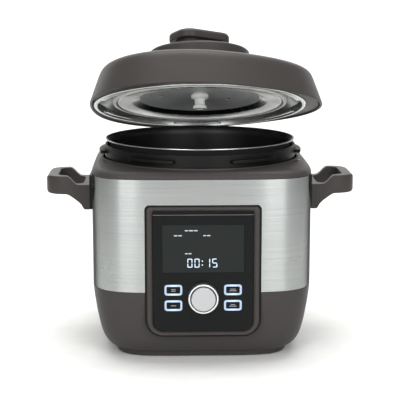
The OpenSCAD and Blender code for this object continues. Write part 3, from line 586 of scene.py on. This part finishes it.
mark = rounded([(117.2, -38.5, 0.6), (121.3, -36, 0.6), (117.2, -33.5, 0.6)])
mark_rows = [[(x, y, z) for x, y in mark] for z in (225.9, 226.25)]
put(sheet("lock_mark", mark_rows, caps=True), "root", WHITE_PLASTIC)

wall = rounded([(114, 219.4), (119.1, 219.4), (119.1, 221, 0.3), (117.5, 221.4, 0.3), (117.5, 241.6, 1.5),
                (116.9, 243, 1.2), (114.6, 243, 1.2), (114, 241.6, 1.2)])
ring = [lathe("ring_wall", wall)]
lug_section = rounded([(116.6, 233, 0.2), (124.5, 233, 0.9), (124.5, 237, 0.9), (116.6, 237, 0.2)])
ring += [sector("lug", lug_section, a, math.radians(28)) for a in LUGS]
for a in (45, 135, 225, 315):
    spot = Vector((126 * math.cos(math.radians(a)), 126 * math.sin(math.radians(a)), 0))
    ring.append(lathe("ear", rounded([(0, 219.2), (6, 219.2, 0.2), (6, 221, 0.2), (0, 221)], closed=False),
                      Matrix.Translation(spot), steps=32, closed=False))
put(join("bayonet_collar", *ring), "root", BLACK, ["bayonet_ring"])

feet = []
for x in (-78, 78):
    for y in (-76, 76):
        line = rounded([(2.3, 5.1), (5, 5.1, 0.3), (5, 0, 0.8), (10.5, 0, 1.2), (11.9, 7.9, 0.5), (2.3, 7.9)])
        feet.append(lathe("foot", line, Matrix.Translation((x, y, 0)), steps=48))
put(join("rubber_feet", *feet), "root", RUBBER, ["feet"])


# ---------- Handles ----------


def line_at(points, x):
    for (x0, z0), (x1, z1) in zip(points, points[1:]):
        if x <= x1:
            return z0 + (z1 - z0) * max(0, x - x0) / (x1 - x0)
    return points[-1][1]


TOP_LINE = chaikin([(135.1, 196.5), (146, 196.5), (151.6, 196.6), (160.6, 206.9), (166, 207), (182.5, 207),
                    (186.6, 206.2), (188.5, 202.5)], 2)
LOW_LINE = chaikin([(135.1, 166), (142.4, 166), (143.4, 168.6), (145.2, 173), (160.5, 184.8), (166, 185),
                    (183.5, 185), (187.2, 185.8), (188.5, 188.5)], 2)


def handle_stations():
    """Matched points on the grip's outer and inner outlines, over the half with Y above 0."""
    def arc(cx, cy, r, a0, a1, t):
        a = math.radians(a0 + (a1 - a0) * t)
        return (cx + r * math.cos(a), cy + r * math.sin(a))

    def mix(a, b, t):
        return (a[0] + (b[0] - a[0]) * t, a[1] + (b[1] - a[1]) * t)

    legs = [
        (5, lambda t: mix((135.1, 0), (135.1, 30), t), lambda t: mix((143, 0), (143, 19), t)),
        (5, lambda t: mix((135.1, 30), (135.1, 40), t), lambda t: arc(155, 19, 12, 180, 150, t)),
        (12, lambda t: mix((135.1, 40), (155, 40), t), lambda t: arc(155, 19, 12, 150, 90, t)),
        (8, lambda t: mix((155, 40), (164.5, 40), t), lambda t: mix((155, 31), (162, 31), t)),
        (20, lambda t: arc(164.5, 16, 24, 90, 0, t), lambda t: arc(162, 19, 12, 90, 0, t)),
        (5, lambda t: mix((188.5, 16), (188.5, 0), t), lambda t: mix((174, 19), (174, 0), t)),
    ]
    out = []
    for count, outer, inner in legs:
        out += [(outer(k / count), inner(k / count)) for k in range(count)]
    out.append(((188.5, 0), (174, 0)))
    return out


def grip(name, mirror):
    half = handle_stations()
    stations = half + [((a[0], -a[1]), (b[0], -b[1])) for a, b in reversed(half[1:-1])]
    rows = []
    for a, b in stations:
        length = math.dist(a, b)

        def at(t):
            return a[0] + (b[0] - a[0]) * t

        stops = [0.1, 0.2, 0.32, 0.5, 0.72, 0.88]
        corners = [(0, line_at(LOW_LINE, at(0)), 1.6), (0, line_at(TOP_LINE, at(0)), 1.6)]
        corners += [(t * length, line_at(TOP_LINE, at(t))) for t in stops]
        corners += [(length, line_at(TOP_LINE, at(1)), 1.4), (length, line_at(LOW_LINE, at(1)), 1.4)]
        corners += [(t * length, line_at(LOW_LINE, at(t))) for t in reversed(stops)]
        ring = []
        for u, z in rounded(corners):
            t = u / length
            ring.append((mirror * at(t), a[1] + (b[1] - a[1]) * t, z))
        rows.append(ring)
    return sheet(name, rows, along=True)


for side, word in ((1, "right"), (-1, "left")):
    put(grip(f"{word}_grip", side), "root", CHARCOAL_SATIN, [f"{word}_handle"], angle=42)

pads = []
for side in (1, -1):
    pads.append(block("pad", lambda d: centred(84 - 2 * d, 42 - 2 * d, 4 - min(d, 2), 0, 187),
                      slab_profile(HALF + 0.02, HALF + 4.05, 0.2, 1.0), lambda u, v, d,
                      s=side: (s * d, u, v)))
put(join("grip_pads", *pads), "root", BLACK, ["handle_pads"])


# ---------- Control panel ----------

BEZEL_W = 8.3
outer_line = outline(bezel_low.x, bezel_high.x, bezel_low.z, bezel_high.z, [20, 5, 5, 20], 12)
inner_line = outline(-PANEL_X - 0.2, PANEL_X + 0.2, PANEL_Z0 - 0.2, PANEL_Z1 + 0.2, [12, 2.2, 2.2, 12], 12)
bezel_rows = []
for u, depth in rounded([(1.2, 17.4), (1.1, 3.4, 1.2), (1.9, 1.2, 1.6), (3.6, 0.05, 2.6), (5.6, 0.5, 3),
                         (8.3, 2.6, 0.5),
                         (8.3, 4.1), (10.9, 4.1), (10.9, 17.4)]):
    t = u / BEZEL_W
    bezel_rows.append([on_panel(a + (c - a) * t, b + (d - b) * t, depth)
                       for (a, b), (c, d) in zip(outer_line, inner_line)])
put(sheet("panel_frame", bezel_rows, along=True), "root", CHARCOAL_SATIN, ["bezel"])

# Painted shade: a thin black rubber band round the bezel stands for the dark shaded gap between bezel and steel.
bezel_shade_rows = []
for u, depth in rounded([(-0.7, 2.2, 0.4), (1.3, 2.2), (1.3, 13), (-0.7, 13)]):
    bezel_shade_rows.append([on_panel(x, z, depth) for x, z in
                        outline(bezel_low.x + u, bezel_high.x - u, bezel_low.z + u, bezel_high.z - u,
                                [20 - u, 5 - u, 5 - u, 20 - u], 12)])
put(sheet("panel_shade_line", bezel_shade_rows, along=True), "root", RUBBER)

SLOT_Z = 176.3


def button_spots():
    return [(x, z) for x in (-34.4, 34.4) for z in (88.4, 70)]


fascia = block("fascia", lambda d: outline(-PANEL_X + d, PANEL_X - d, PANEL_Z0 + d, SLOT_Z - d,
                                           [12, 0.8, 0.8, 12], 12),
               rounded([(0.8, 1.0), (0.25, 1.0, 0.25), (0, 1.35, 0.2), (0, 3.95), (0.8, 3.95)],
                       closed=False), on_panel)
holes = [block("hole", lambda d: centred(94.3, 56.3, 0.5, 0, 137), [(0, 0.5), (0, 5)], on_panel)]
for x, z in button_spots():
    holes.append(block("hole", lambda d, x=x, z=z: centred(20.8, 12.9, 3.15, x, z), [(0, 0.5), (0, 5)],
                       on_panel))
holes.append(block("hole", lambda d: centred(10.2, 10.2, 5.05, 0, DIAL_Z), [(0, 0.5), (0, 5)], on_panel))
put(carve(fascia, *holes), "root", GLOSS, ["front_panel"])

strip = block("vent_slot", lambda d: outline(-PANEL_X + d, PANEL_X - d, SLOT_Z - 1 + d, PANEL_Z1 - d,
                                             [0.5, 2, 2, 0.5], 8),
              slab_profile(3.3, 3.95, 0.1, 0.1), on_panel)
put(strip, "root", RUBBER)
lip = block("slot_lip", lambda d: centred(2 * PANEL_X - 0.6 - 2 * d, 0.55 - 2 * d, 0.24, 0, SLOT_Z + 0.28, 4),
            [(0.15, 1.1), (0, 1.25), (0, 1.7), (0.15, 1.85)], on_panel)
put(lip, "root", SLOT_EDGE)

window = block("display_window_pane", lambda d: centred(94 - 2 * d, 56 - 2 * d, 0.6, 0, 137),
               slab_profile(1.2, 3.6, 0.25, 0.1), on_panel)
put(window, "root", LENS, ["display_lens"])

SEGMENTS = {"0": "abcdef", "1": "bc", "5": "afgcd"}


def bar(x, z, w, h, d0, d1, r=0.2):
    return block("bar", lambda d: centred(w - 2 * d, h - 2 * d, r, x, z, 3),
                 [(0.03, d0), (0, d0 + 0.04), (0, d1)],
                 on_panel)


def stroke(x, z, long, wide, up):
    """One lit segment with pointed ends."""
    half, w, tip = long / 2, wide / 2, wide * 0.42
    line = [(-half, 0), (-half + tip, -w), (half - tip, -w), (half, 0), (half - tip, w), (-half + tip, w)]
    points = [(x - v, z + u) if up else (x + u, z + v) for u, v in line]
    return sheet("stroke", [[on_panel(u, v, d) for u, v in points] for d in (1.0, 1.2)], caps=True)


digits = []
for k, digit in enumerate("0015"):
    cx, cz = -1 + (k - 1.5) * 8.2 + (-2 if k < 2 else 2), 120.4
    arm, half = 2.37, 5.3
    places = {"a": (0, half - 0.57, 0), "b": (arm, half / 2, 1), "c": (arm, -half / 2, 1),
              "d": (0, -half + 0.57, 0),
              "e": (-arm, -half / 2, 1), "f": (-arm, half / 2, 1), "g": (0, 0, 0)}
    for letter in SEGMENTS[digit]:
        u, v, up = places[letter]
        digits.append(stroke(cx + u, cz + v, half - 0.7 if up else 4.4, 0.95, up))
digits += [bar(-1, 120.4 + s * 2.3, 1.3, 1.3, 1.0, 1.2) for s in (-1, 1)]
put(join("lit_digits", *digits), "root", LIT, ["display_digits"], angle=20)

# Short bars stand where the display has its words
captions = [bar(x, z, w, 1.2, 1.05, 1.2, 0.45) for x, z, w in
            [(-19.3, 158.4, 3.8), (-14.1, 158.4, 5.0), (-8.6, 158.4, 4.4), (-31.6, 152.6, 4.2),
             (-26.4, 152.6, 4.0),
             (1.6, 152.6, 3.2), (6.2, 152.6, 4.0), (-19.4, 131.5, 3.2), (-15.2, 131.5, 3.4)]]
put(join("display_bars", *captions), "root", CAPTION, angle=20)

guides = []
for x, z in button_spots():
    rows = []
    for t, depth in rounded([(0, 3.9), (0, 0.85, 0.5), (1, 0.85, 0.5), (1, 3.9)]):
        w, h, r = 20.5 - 4.6 * t, 12.6 - 4.6 * t, 3 - 1.6 * t
        rows.append([on_panel(u, v, depth) for u, v in centred(w, h, r, x, z)])
    guides.append(sheet("guide", rows, along=True))
put(join("lit_frames", *guides), "root", GUIDE, ["light_guides"])

for name, body, x, z, lines in (("upper_left", "button_ul", -34.4, 88.4, (5.2, 5.2)),
                                ("upper_right", "button_ur", 34.4, 88.4, (6.4, 8.4)),
                                ("lower_left", "button_ll", -34.4, 70, (6.2,)),
                                ("lower_right", "button_lr", 34.4, 70, (5.2, 8.6))):
    face = block("face", lambda d: centred(15.5 - 2 * d, 7.6 - 2 * d, 1.2, x, z),
                 rounded([(1.2, 0.82), (0.7, 0.7, 0.3), (0, 0.7, 0.45), (0, 4.3), (1, 4.3)], closed=False),
                 on_panel)
    flange = block("flange", lambda d: centred(18.5, 10.6, 2, x, z), [(0, 4.2), (0, 5.2)], on_panel)
    stem = block("stem", lambda d: centred(5, 5, 2.45, x, z), [(0, 5.1), (0, 7)], on_panel)
    put(join(f"key_{name}", face, flange, stem), body, GLOSS, [f"button_{name}"])
    spots = [0.95, -0.95] if len(lines) == 2 else [0]
    label = [bar(x, z + v, w, 0.75, 0.66, 0.84, 0.3) for v, w in zip(spots, lines)]
    put(join(f"key_bars_{name}", *label), body, LABEL, angle=20)

DIAL = Matrix.Translation((0, FACE_Y, DIAL_Z)) @ Matrix.Rotation(math.pi / 2, 4, "X")


def knurl(a, r, h):
    return r - 0.16 * (0.5 + 0.5 * math.cos(72 * a)) if r > 17.4 and 1 < h < 9.4 else r


dial_line = rounded([(3.05, 0.1), (17.7, 0.1, 0.3), (17.7, 1.2), (17.7, 5), (17.6, 9.3, 0.2),
                     (16.95, 10.5, 0.55),
                     (15.2, 10.5, 0.45), (15.2, 3), (3.05, 3)])
rim = lathe("dial_rim", dial_line, DIAL, steps=288, ripple=knurl)
# Painted shade: the second finish, black rubber, goes on the ring's inner wall and groove floor to darken the
# groove between ring and cap.
put(rim, "dial", [DIAL_EDGE, RUBBER], ["dial_ring"])
for face in rim.data.polygons:
    spot = DIAL.inverted() @ (face.center / MM)
    face.material_index = 1 if math.hypot(spot.x, spot.y) < 15.4 and spot.z < 10.2 else 0
cap_line = rounded([(3.05, 3), (14.2, 3, 0.2), (14.2, 11.8, 0.3), (13.4, 12.8, 0.6), (12.4, 12.9, 0.3),
                    (0, 13),
                    (0, 9.1), (3.05, 9.1)])
put(lathe("dial_top", cap_line, DIAL, steps=144), "dial", DIAL_FACE, ["dial_cap"])


# ---------- Inner pot ----------

r_out, r_in, bend = 111.2, 109.8, 14
pot_line = [(0, POT_Z0)]
pot_line += [(r_out - bend + bend * math.sin(t), POT_Z0 + bend - bend * math.cos(t))
             for t in [math.pi / 2 * k / 12 for k in range(13)]]
pot_line += chaikin([(r_out, 236), (r_out, 241.5), (111.9, 245), (114.4, 248), (POT_R - 0.6, 248.7)], 2)
pot_line += rounded([(POT_R - 0.6, 248.7), (POT_R, 248.9, 0.3), (POT_R, POT_Z1, 0.6),
                     (POT_R - 1.2, POT_Z1, 0.3),
                     (POT_R - 2.4, 249.6)], closed=False)[1:-1]
pot_line += chaikin([(POT_R - 2.2, 249.7), (113, 248.9), (110.9, 246.3), (r_in, 242.4), (r_in, 236)], 2)
pot_line += [(r_in - bend + 1.4 + (bend - 1.4) * math.cos(t), POT_Z0 + bend - (bend - 1.4) * math.sin(t))
             for t in [math.pi / 2 * k / 12 for k in range(13)]]
pot_line += [(60, POT_Z0 + 1.4), (30, POT_Z0 + 1.4), (0, POT_Z0 + 1.4)]
pot = lathe("cooking_pot", pot_line, steps=192, closed=False)
put(pot, "pot", [NONSTICK, ANODISED, RIM], ["inner_pot"])
for face in pot.data.polygons:
    radius, height = math.hypot(face.center.x, face.center.y) / MM, face.center.z / MM
    inside = face.normal.x * face.center.x + face.normal.y * face.center.y < 0 or face.normal.z > 0.6
    face.material_index = 2 if radius > POT_R - 1.9 and height > 248.75 else 0 if inside else 1


# ---------- Lid ----------

lid_r, lobe = 143.6, 8
shell_outer = [(lid_r, lobe, 1.6), (lid_r - 1.9, lobe, 7.2), (lid_r - 3.8, lobe, 13), (lid_r - 7.6, lobe, 24),
               (lid_r - 11.4, lobe, 35), (lid_r - 14.2, lobe, 39.6), (lid_r - 18.6, 7.4, 42.6),
               (lid_r - 25.1, 6.4, 44.6),
               (110, 5.4, 46.2), (96, 4, 48.4), (80, 2, 51), (66, 0.5, 53.6), (63.5, 0, 54)]
shell_inner = [(62, 0, 50.8), (80, 2, 48), (96, 4, 45.4), (116.5, 6.2, 41.6), (122.6, 7, 39.8),
               (126.8, 7.8, 37.4),
               (129.4, lobe, 34.4), (133.2, lobe, 24), (137, lobe, 13), (140.4, lobe, 1.2)]
shell = [(lid_r - 1.9, lobe, 0), (lid_r - 0.7, lobe, 0.3), (lid_r - 0.12, lobe, 0.9)]
shell += chaikin(shell_outer, 3)
shell += [(62.6, 0, 54.1), (60.4, 0, 54), (60, 0, 53.6), (60, 0, 51.2)]
shell += chaikin(shell_inner, 2)
shell += [(lid_r - 2.75, lobe, 0.4)]
put(sheet("lid_dome", [lid_ring(*row) for row in shell], along=True, matrix=LID), "lid", CHARCOAL_SATIN,
    ["lid_shell"])

lower = []
for r, out, h in [(131.2, 0, 2.6), (131.8, 0, 2), (138.5, 1, 2), (138.9, 1, 2.4), (138.9, 1, 4.4),
                  (131.2, 0, 4.4)]:
    lower.append(lid_ring(r, lobe if out else 0, h))
put(sheet("lid_underside", lower, along=True, matrix=LID), "lid", CHARCOAL,
    ["lid_lower_cover"])

trim_line = rounded([(128.6, 0.4, 0.3), (130.1, 0.4, 0.5), (131, 1.3, 0.5), (131, 4, 0.2), (128.6, 4, 0.2)])
put(lathe("trim_ring", trim_line, LID, steps=240), "lid", TRIM, ["lid_trim_ring"])

cap_line = rounded([(57.7, 50.2), (59.7, 50.2, 0.3), (59.7, 54.15), (62.6, 54.15, 0.3), (63, 55.2, 0.5),
                    (62.2, 70, 4),
                    (54, 70), (0, 70), (0, 67.5), (55.7, 67.5, 1), (57.7, 65.5, 1)], steps=6)
cap = lathe("centre_cap", cap_line, LID, steps=192)
cutters = []
for k in range(-2, 3):
    spot = LID @ Matrix.Rotation(math.radians(90 + 9 * k), 4, "Z") @ Matrix.Translation((50, 0, 0))
    cutters.append(block("vent", lambda d: centred(9, 2.6, 1.2), [(0, 66), (0, 72)], upright, spot))
carve(cap, *cutters)
neck = block("neck", lambda d: centred(58 - 2 * d, 36 - 2 * d, 14 - d, steps=12),
             [(-1.6, 69.9), (-0.7, 70.3), (-0.15, 71), (0, 72), (0, 82.2)], upright, LID)
put(join("lid_cap_and_neck", cap, neck), "lid", CHARCOAL_SATIN, ["lid_cap"])

knob_line = rounded([(4, 82.1), (0.6, 82.1, 0.8), (0, 83.4, 0.8), (0, 89.4, 1.6), (1.6, 92.3, 2.4),
                     (6, 93.7, 2.4),
                     (16, 94)], closed=False, steps=5)
knob = block("knob", lambda d: centred(72 - 2 * d, 50 - 2 * d, max(17 - d, 3), steps=14), knob_line, upright,
             LID)
put(knob, "lid", CHARCOAL_SATIN, ["lid_knob"])

pan_line = rounded([(126.5, 0.1, 0.6), (128.5, 0.1, 0.6), (128.5, 10, 4), (121.5, 24.5, 4), (117.5, 32.5, 2),
                    (60, 37.1),
                    (4.1, 41.6), (4.1, 39.7), (60, 35), (116.5, 30.4, 2), (119.6, 23.6, 4), (126.5, 9.4, 4)])
pan = [lathe("pan", pan_line, LID, steps=240)]
pan_lug = rounded([(120.5, 1.5, 0.8), (127.2, 1.5, 0.2), (127.2, 4.5, 0.2), (120.5, 4.5, 0.8)])
pan += [sector("pan_lug", pan_lug, a, math.radians(28), LID) for a in LUGS]
pan.append(lathe("stud", rounded([(0, -1), (4, -1, 0.6), (4, 41), (0, 41)], closed=False), LID, 48,
                 closed=False))
for a in (30, 150, 270):
    spot = LID @ Matrix.Rotation(math.radians(a), 4, "Z") @ Matrix.Translation((90, 0, 0))
    pan.append(lathe("post", [(0, 34), (3, 34), (3, 43.1), (2.6, 43.5), (0, 43.5)], spot, 24, closed=False))
put(join("steel_pan", *pan), "lid", POLISHED, ["lid_pan"])

t = 1.2
plate_line = rounded([(4.2, 19), (40, 18, 20), (62, 14.6, 14), (74, 10.6, 8), (80, 8, 3), (84, 6.6, 3),
                      (100.5, 4.6, 1),
                      (102.4, 6.5, 1.2), (102.4, 9, 0.5), (101.2, 9, 0.5), (101.2, 7, 0.6),
                      (100, 4.6 + t, 0.4),
                      (84.4, 6.6 + t, 2), (80.4, 8 + t, 2), (74.4, 10.6 + t, 8), (62.4, 14.6 + t, 14),
                      (40, 18 + t, 20), (4.2, 19 + t)], steps=5)
plate = lathe("plate", plate_line, LID, steps=216)


def around(angle, radius):
    return LID @ Matrix.Rotation(angle, 4, "Z") @ Matrix.Translation((radius, 0, 0))


carve(plate, *[lathe("bore", [(0, 8), (3.75, 8), (3.75, 26), (0, 26)], around(a, VALVE_R), 32, closed=False)
               for a in (VALVE_ANGLE, FLOAT_ANGLE)])


def plate_height(r):
    line = [(4.2, 19), (40, 18), (62, 14.6), (74, 10.6), (80, 8)]
    return line_at(line, r)


dots = []
for radius, count, size, first, last in ((55.5, 84, 0.75, 0, 84), (59.5, 84, 0.75, 0, 84),
                                         (35, 60, 0.5, 4, 24),
                                         (35, 60, 0.5, 34, 54), (67.5, 108, 0.55, 10, 46),
                                         (67.5, 108, 0.55, 64, 100)):
    for k in range(first, last):
        a = math.tau * k / count
        h = plate_height(radius)
        dome = [(size, 0.12), (size * 0.9, -size * 0.25), (size * 0.5, -size * 0.48), (0, -size * 0.55)]
        dots.append(lathe("dot", dome, around(a, radius) @ Matrix.Translation((0, 0, h)), 10, closed=False))
dish = join("inner_dish", plate, *dots)
put(dish, "lid", [POLISHED, PLATE], ["inner_plate"])
for face in dish.data.polygons:
    spot = LID.inverted() @ (face.center / MM)
    face.material_index = 1 if math.hypot(spot.x, spot.y) < 77 else 0

grommet_line = rounded([(4.1, -2, 0.4), (8.5, -2, 1.3), (8.5, 1.5, 1), (6.25, 3.2, 1), (6.25, 10.2, 1),
                        (10.8, 11.6, 1), (10.8, 15.8, 1), (7, 18.9, 0.6), (4.1, 18.9)])
put(lathe("plate_knob", grommet_line, LID, steps=72), "lid", SILICONE_WHITE,
    ["plate_grommet"])

seal_line = rounded([(103, 4, 0.5), (106.5, 4, 0.8), (107.5, 6, 0.8), (107.5, 20, 1.5), (109.5, 22.6, 1.5),
                     (115.5, 23.9, 0.6), (115.5, 25.4, 0.6), (113, 27, 0.8), (103, 27, 0.6)])
seal_frame = LID @ Matrix.Rotation(math.radians(-30), 4, "Z")
put(lathe("seal", seal_line, seal_frame, steps=216), "seal", SILICONE_CLEAR,
    ["sealing_ring"])

weight_line = rounded([(4.58, 52), (8.6, 52, 0.6), (8.6, 62.5, 1.2), (0, 62.5), (0, 58.2), (4.58, 58.2)])
put(lathe("steam_weight", weight_line, around(VALVE_ANGLE, VALVE_R), 64), "steam_weight", BLACK,
    ["steam_valve"])


# ---------- Rear ----------

cup_low, cup_high = box_mm("condensation_cup")
cy, half_y = (cup_low.y + cup_high.y) / 2, (cup_high.y - cup_low.y) / 2


def cup_plan(inset):
    return outline(-31 + inset, 31 - inset, cy - half_y + inset, cy + half_y - inset,
                   [max(3.4 - inset, 1)] * 4, 8)


cup_profile = rounded([(8, 140), (0.2, 140, 3), (0, 146), (0, cup_high.z, 0.6), (1.5, cup_high.z, 0.6),
                       (1.5, 146),
                       (1.7, 141.5, 2), (8, 141.5)], closed=False)
cup = [block("cup", cup_plan, cup_profile, upright)]
for side in (-1, 1):
    cup.append(block("runner", lambda d, s=side: outline(31.2 * s - 1.9, 31.2 * s + 1.9, 150.6, 186.4,
                                                         [0.5] * 4, 4),
                     [(0, cup_low.y + 0.02), (0, cup_low.y + 2.2)], lambda u, v, d: (u, d, v)))
put(join("drip_cup", *cup), "cup", CLEAR, ["condensation_cup"])

inlet_back = box_mm("power_inlet")[1].y
body_block = block("inlet", lambda d: centred(28, 21.2, 2.4, 0, 40), [(0, 98), (0, inlet_back - 1)],
                   lambda u, v, d: (u, d, v))
flange = block("inlet_flange", lambda d: centred(34 - 2 * d, 27.2 - 2 * d, 3 - min(d, 1), 0, 40),
               slab_profile(inlet_back - 2.2, inlet_back, 0.1, 0.7), lambda u, v, d: (u, d, v))
for part in (body_block, flange):
    carve(part, block("socket", lambda d: outline(-12, 12, 31.4, 48.6, [1.2, 5, 5, 1.2], 8),
                      [(0, 104), (0, 135)],
                      lambda u, v, d: (u, d, v)))
put(join("mains_inlet", body_block, flange), "root", BLACK, ["power_inlet"])
blades = []
for x, z in ((-7, 39), (0, 43), (7, 39)):
    blades.append(block("blade", lambda d, x=x, z=z: centred(2 - 2 * d, 4 - 2 * d, 0.4, x, z, 4),
                        [(0, 92), (0, 121.2), (0.25, 121.8), (0.5, 122)], lambda u, v, d: (u, d, v)))
put(join("inlet_blades", *blades), "root", SCREW)

for name, width in (("cup_bracket", 0.4), ("bottom_plate", 0.4), ("lcd_module", 0.3), ("power_parts", 0.6),
                    ("button_switches", 0.2), ("encoder_body", 0.2), ("heating_plate", 0.8)):
    soften(frame["nodes"][name], width)


# ---------- Studio ----------


def stage_sheet(name, rows, colour_dark, colour_light):
    obj = sheet(name, rows, around=False)
    obj.data.materials.append(finish(name + "_paint", colour_dark, colour_light, 0.75, grain=40, vary=0.05,
                                     bump=0.02))
    obj.data.shade_smooth()


# A floor that curves up into a wall behind the object. A camera further back than the wall
# sees only the sheet.
STAGE_HALF_X, STAGE_FRONT, WALL_TOP = 1300, -1500, 2400
CURVE_START, CURVE_R, CURVE_STEPS = 700, 500, 16
bend = [math.pi / 2 * k / CURVE_STEPS for k in range(CURVE_STEPS + 1)]
sweep = [(STAGE_FRONT, 0), (CURVE_START, 0)]
sweep += [(CURVE_START + CURVE_R * math.sin(a), CURVE_R - CURVE_R * math.cos(a)) for a in bend]
sweep += [(CURVE_START + CURVE_R, WALL_TOP)]
stage_sheet("studio_floor", [[(x, y, z) for x in (-STAGE_HALF_X, 0, STAGE_HALF_X)] for y, z in sweep],
            "efefed", "f3f3f1")

world = bpy.data.worlds.new("studio")
world.use_nodes = True
world.node_tree.nodes["Background"].inputs["Color"].default_value = (1, 1, 1, 1)
world.node_tree.nodes["Background"].inputs["Strength"].default_value = 0.22
bpy.context.scene.world = world


def softbox(name, spot, aim, width, height, watts):
    light = bpy.data.lights.new(name, "AREA")
    light.shape, light.size, light.size_y, light.energy = "RECTANGLE", width, height, watts
    obj = bpy.data.objects.new(name, light)
    obj.location = spot
    obj.rotation_euler = (Vector(aim) - Vector(spot)).to_track_quat("-Z", "Y").to_euler()
    bpy.context.scene.collection.objects.link(obj)


softbox("key_left", (-0.7, -1.44, 0.8), (0, 0, 0.15), 0.75, 1.3, 13)
softbox("key_right", (0.7, -1.44, 0.8), (0, 0, 0.15), 0.75, 1.3, 13)
softbox("low_fill", (0, -1.8, 0.25), (0, 0, 0.3), 1.3, 0.35, 1.2)
softbox("overhead", (0, 0.1, 1.7), (0, 0, 0.2), 1.4, 1.2, 13)
softbox("backdrop_wash", (0, 0.2, 2.0), (0, 1.2, 0.6), 2.2, 0.6, 30)

TARGET = Vector((0, 0, 0.170))
azimuth, elevation, distance = math.radians(-1.6), math.radians(10.3), 1.5
camera = bpy.data.objects.new("camera", bpy.data.cameras.new("camera"))
camera.data.lens, camera.data.sensor_width = 108, 36
camera.location = TARGET + distance * Vector((math.sin(azimuth) * math.cos(elevation),
                                              -math.cos(azimuth) * math.cos(elevation), math.sin(elevation)))
camera.rotation_euler = (TARGET - camera.location).to_track_quat("-Z", "Y").to_euler()
bpy.context.scene.collection.objects.link(camera)
bpy.context.scene.camera = camera
bpy.context.scene.view_settings.view_transform = "Standard"
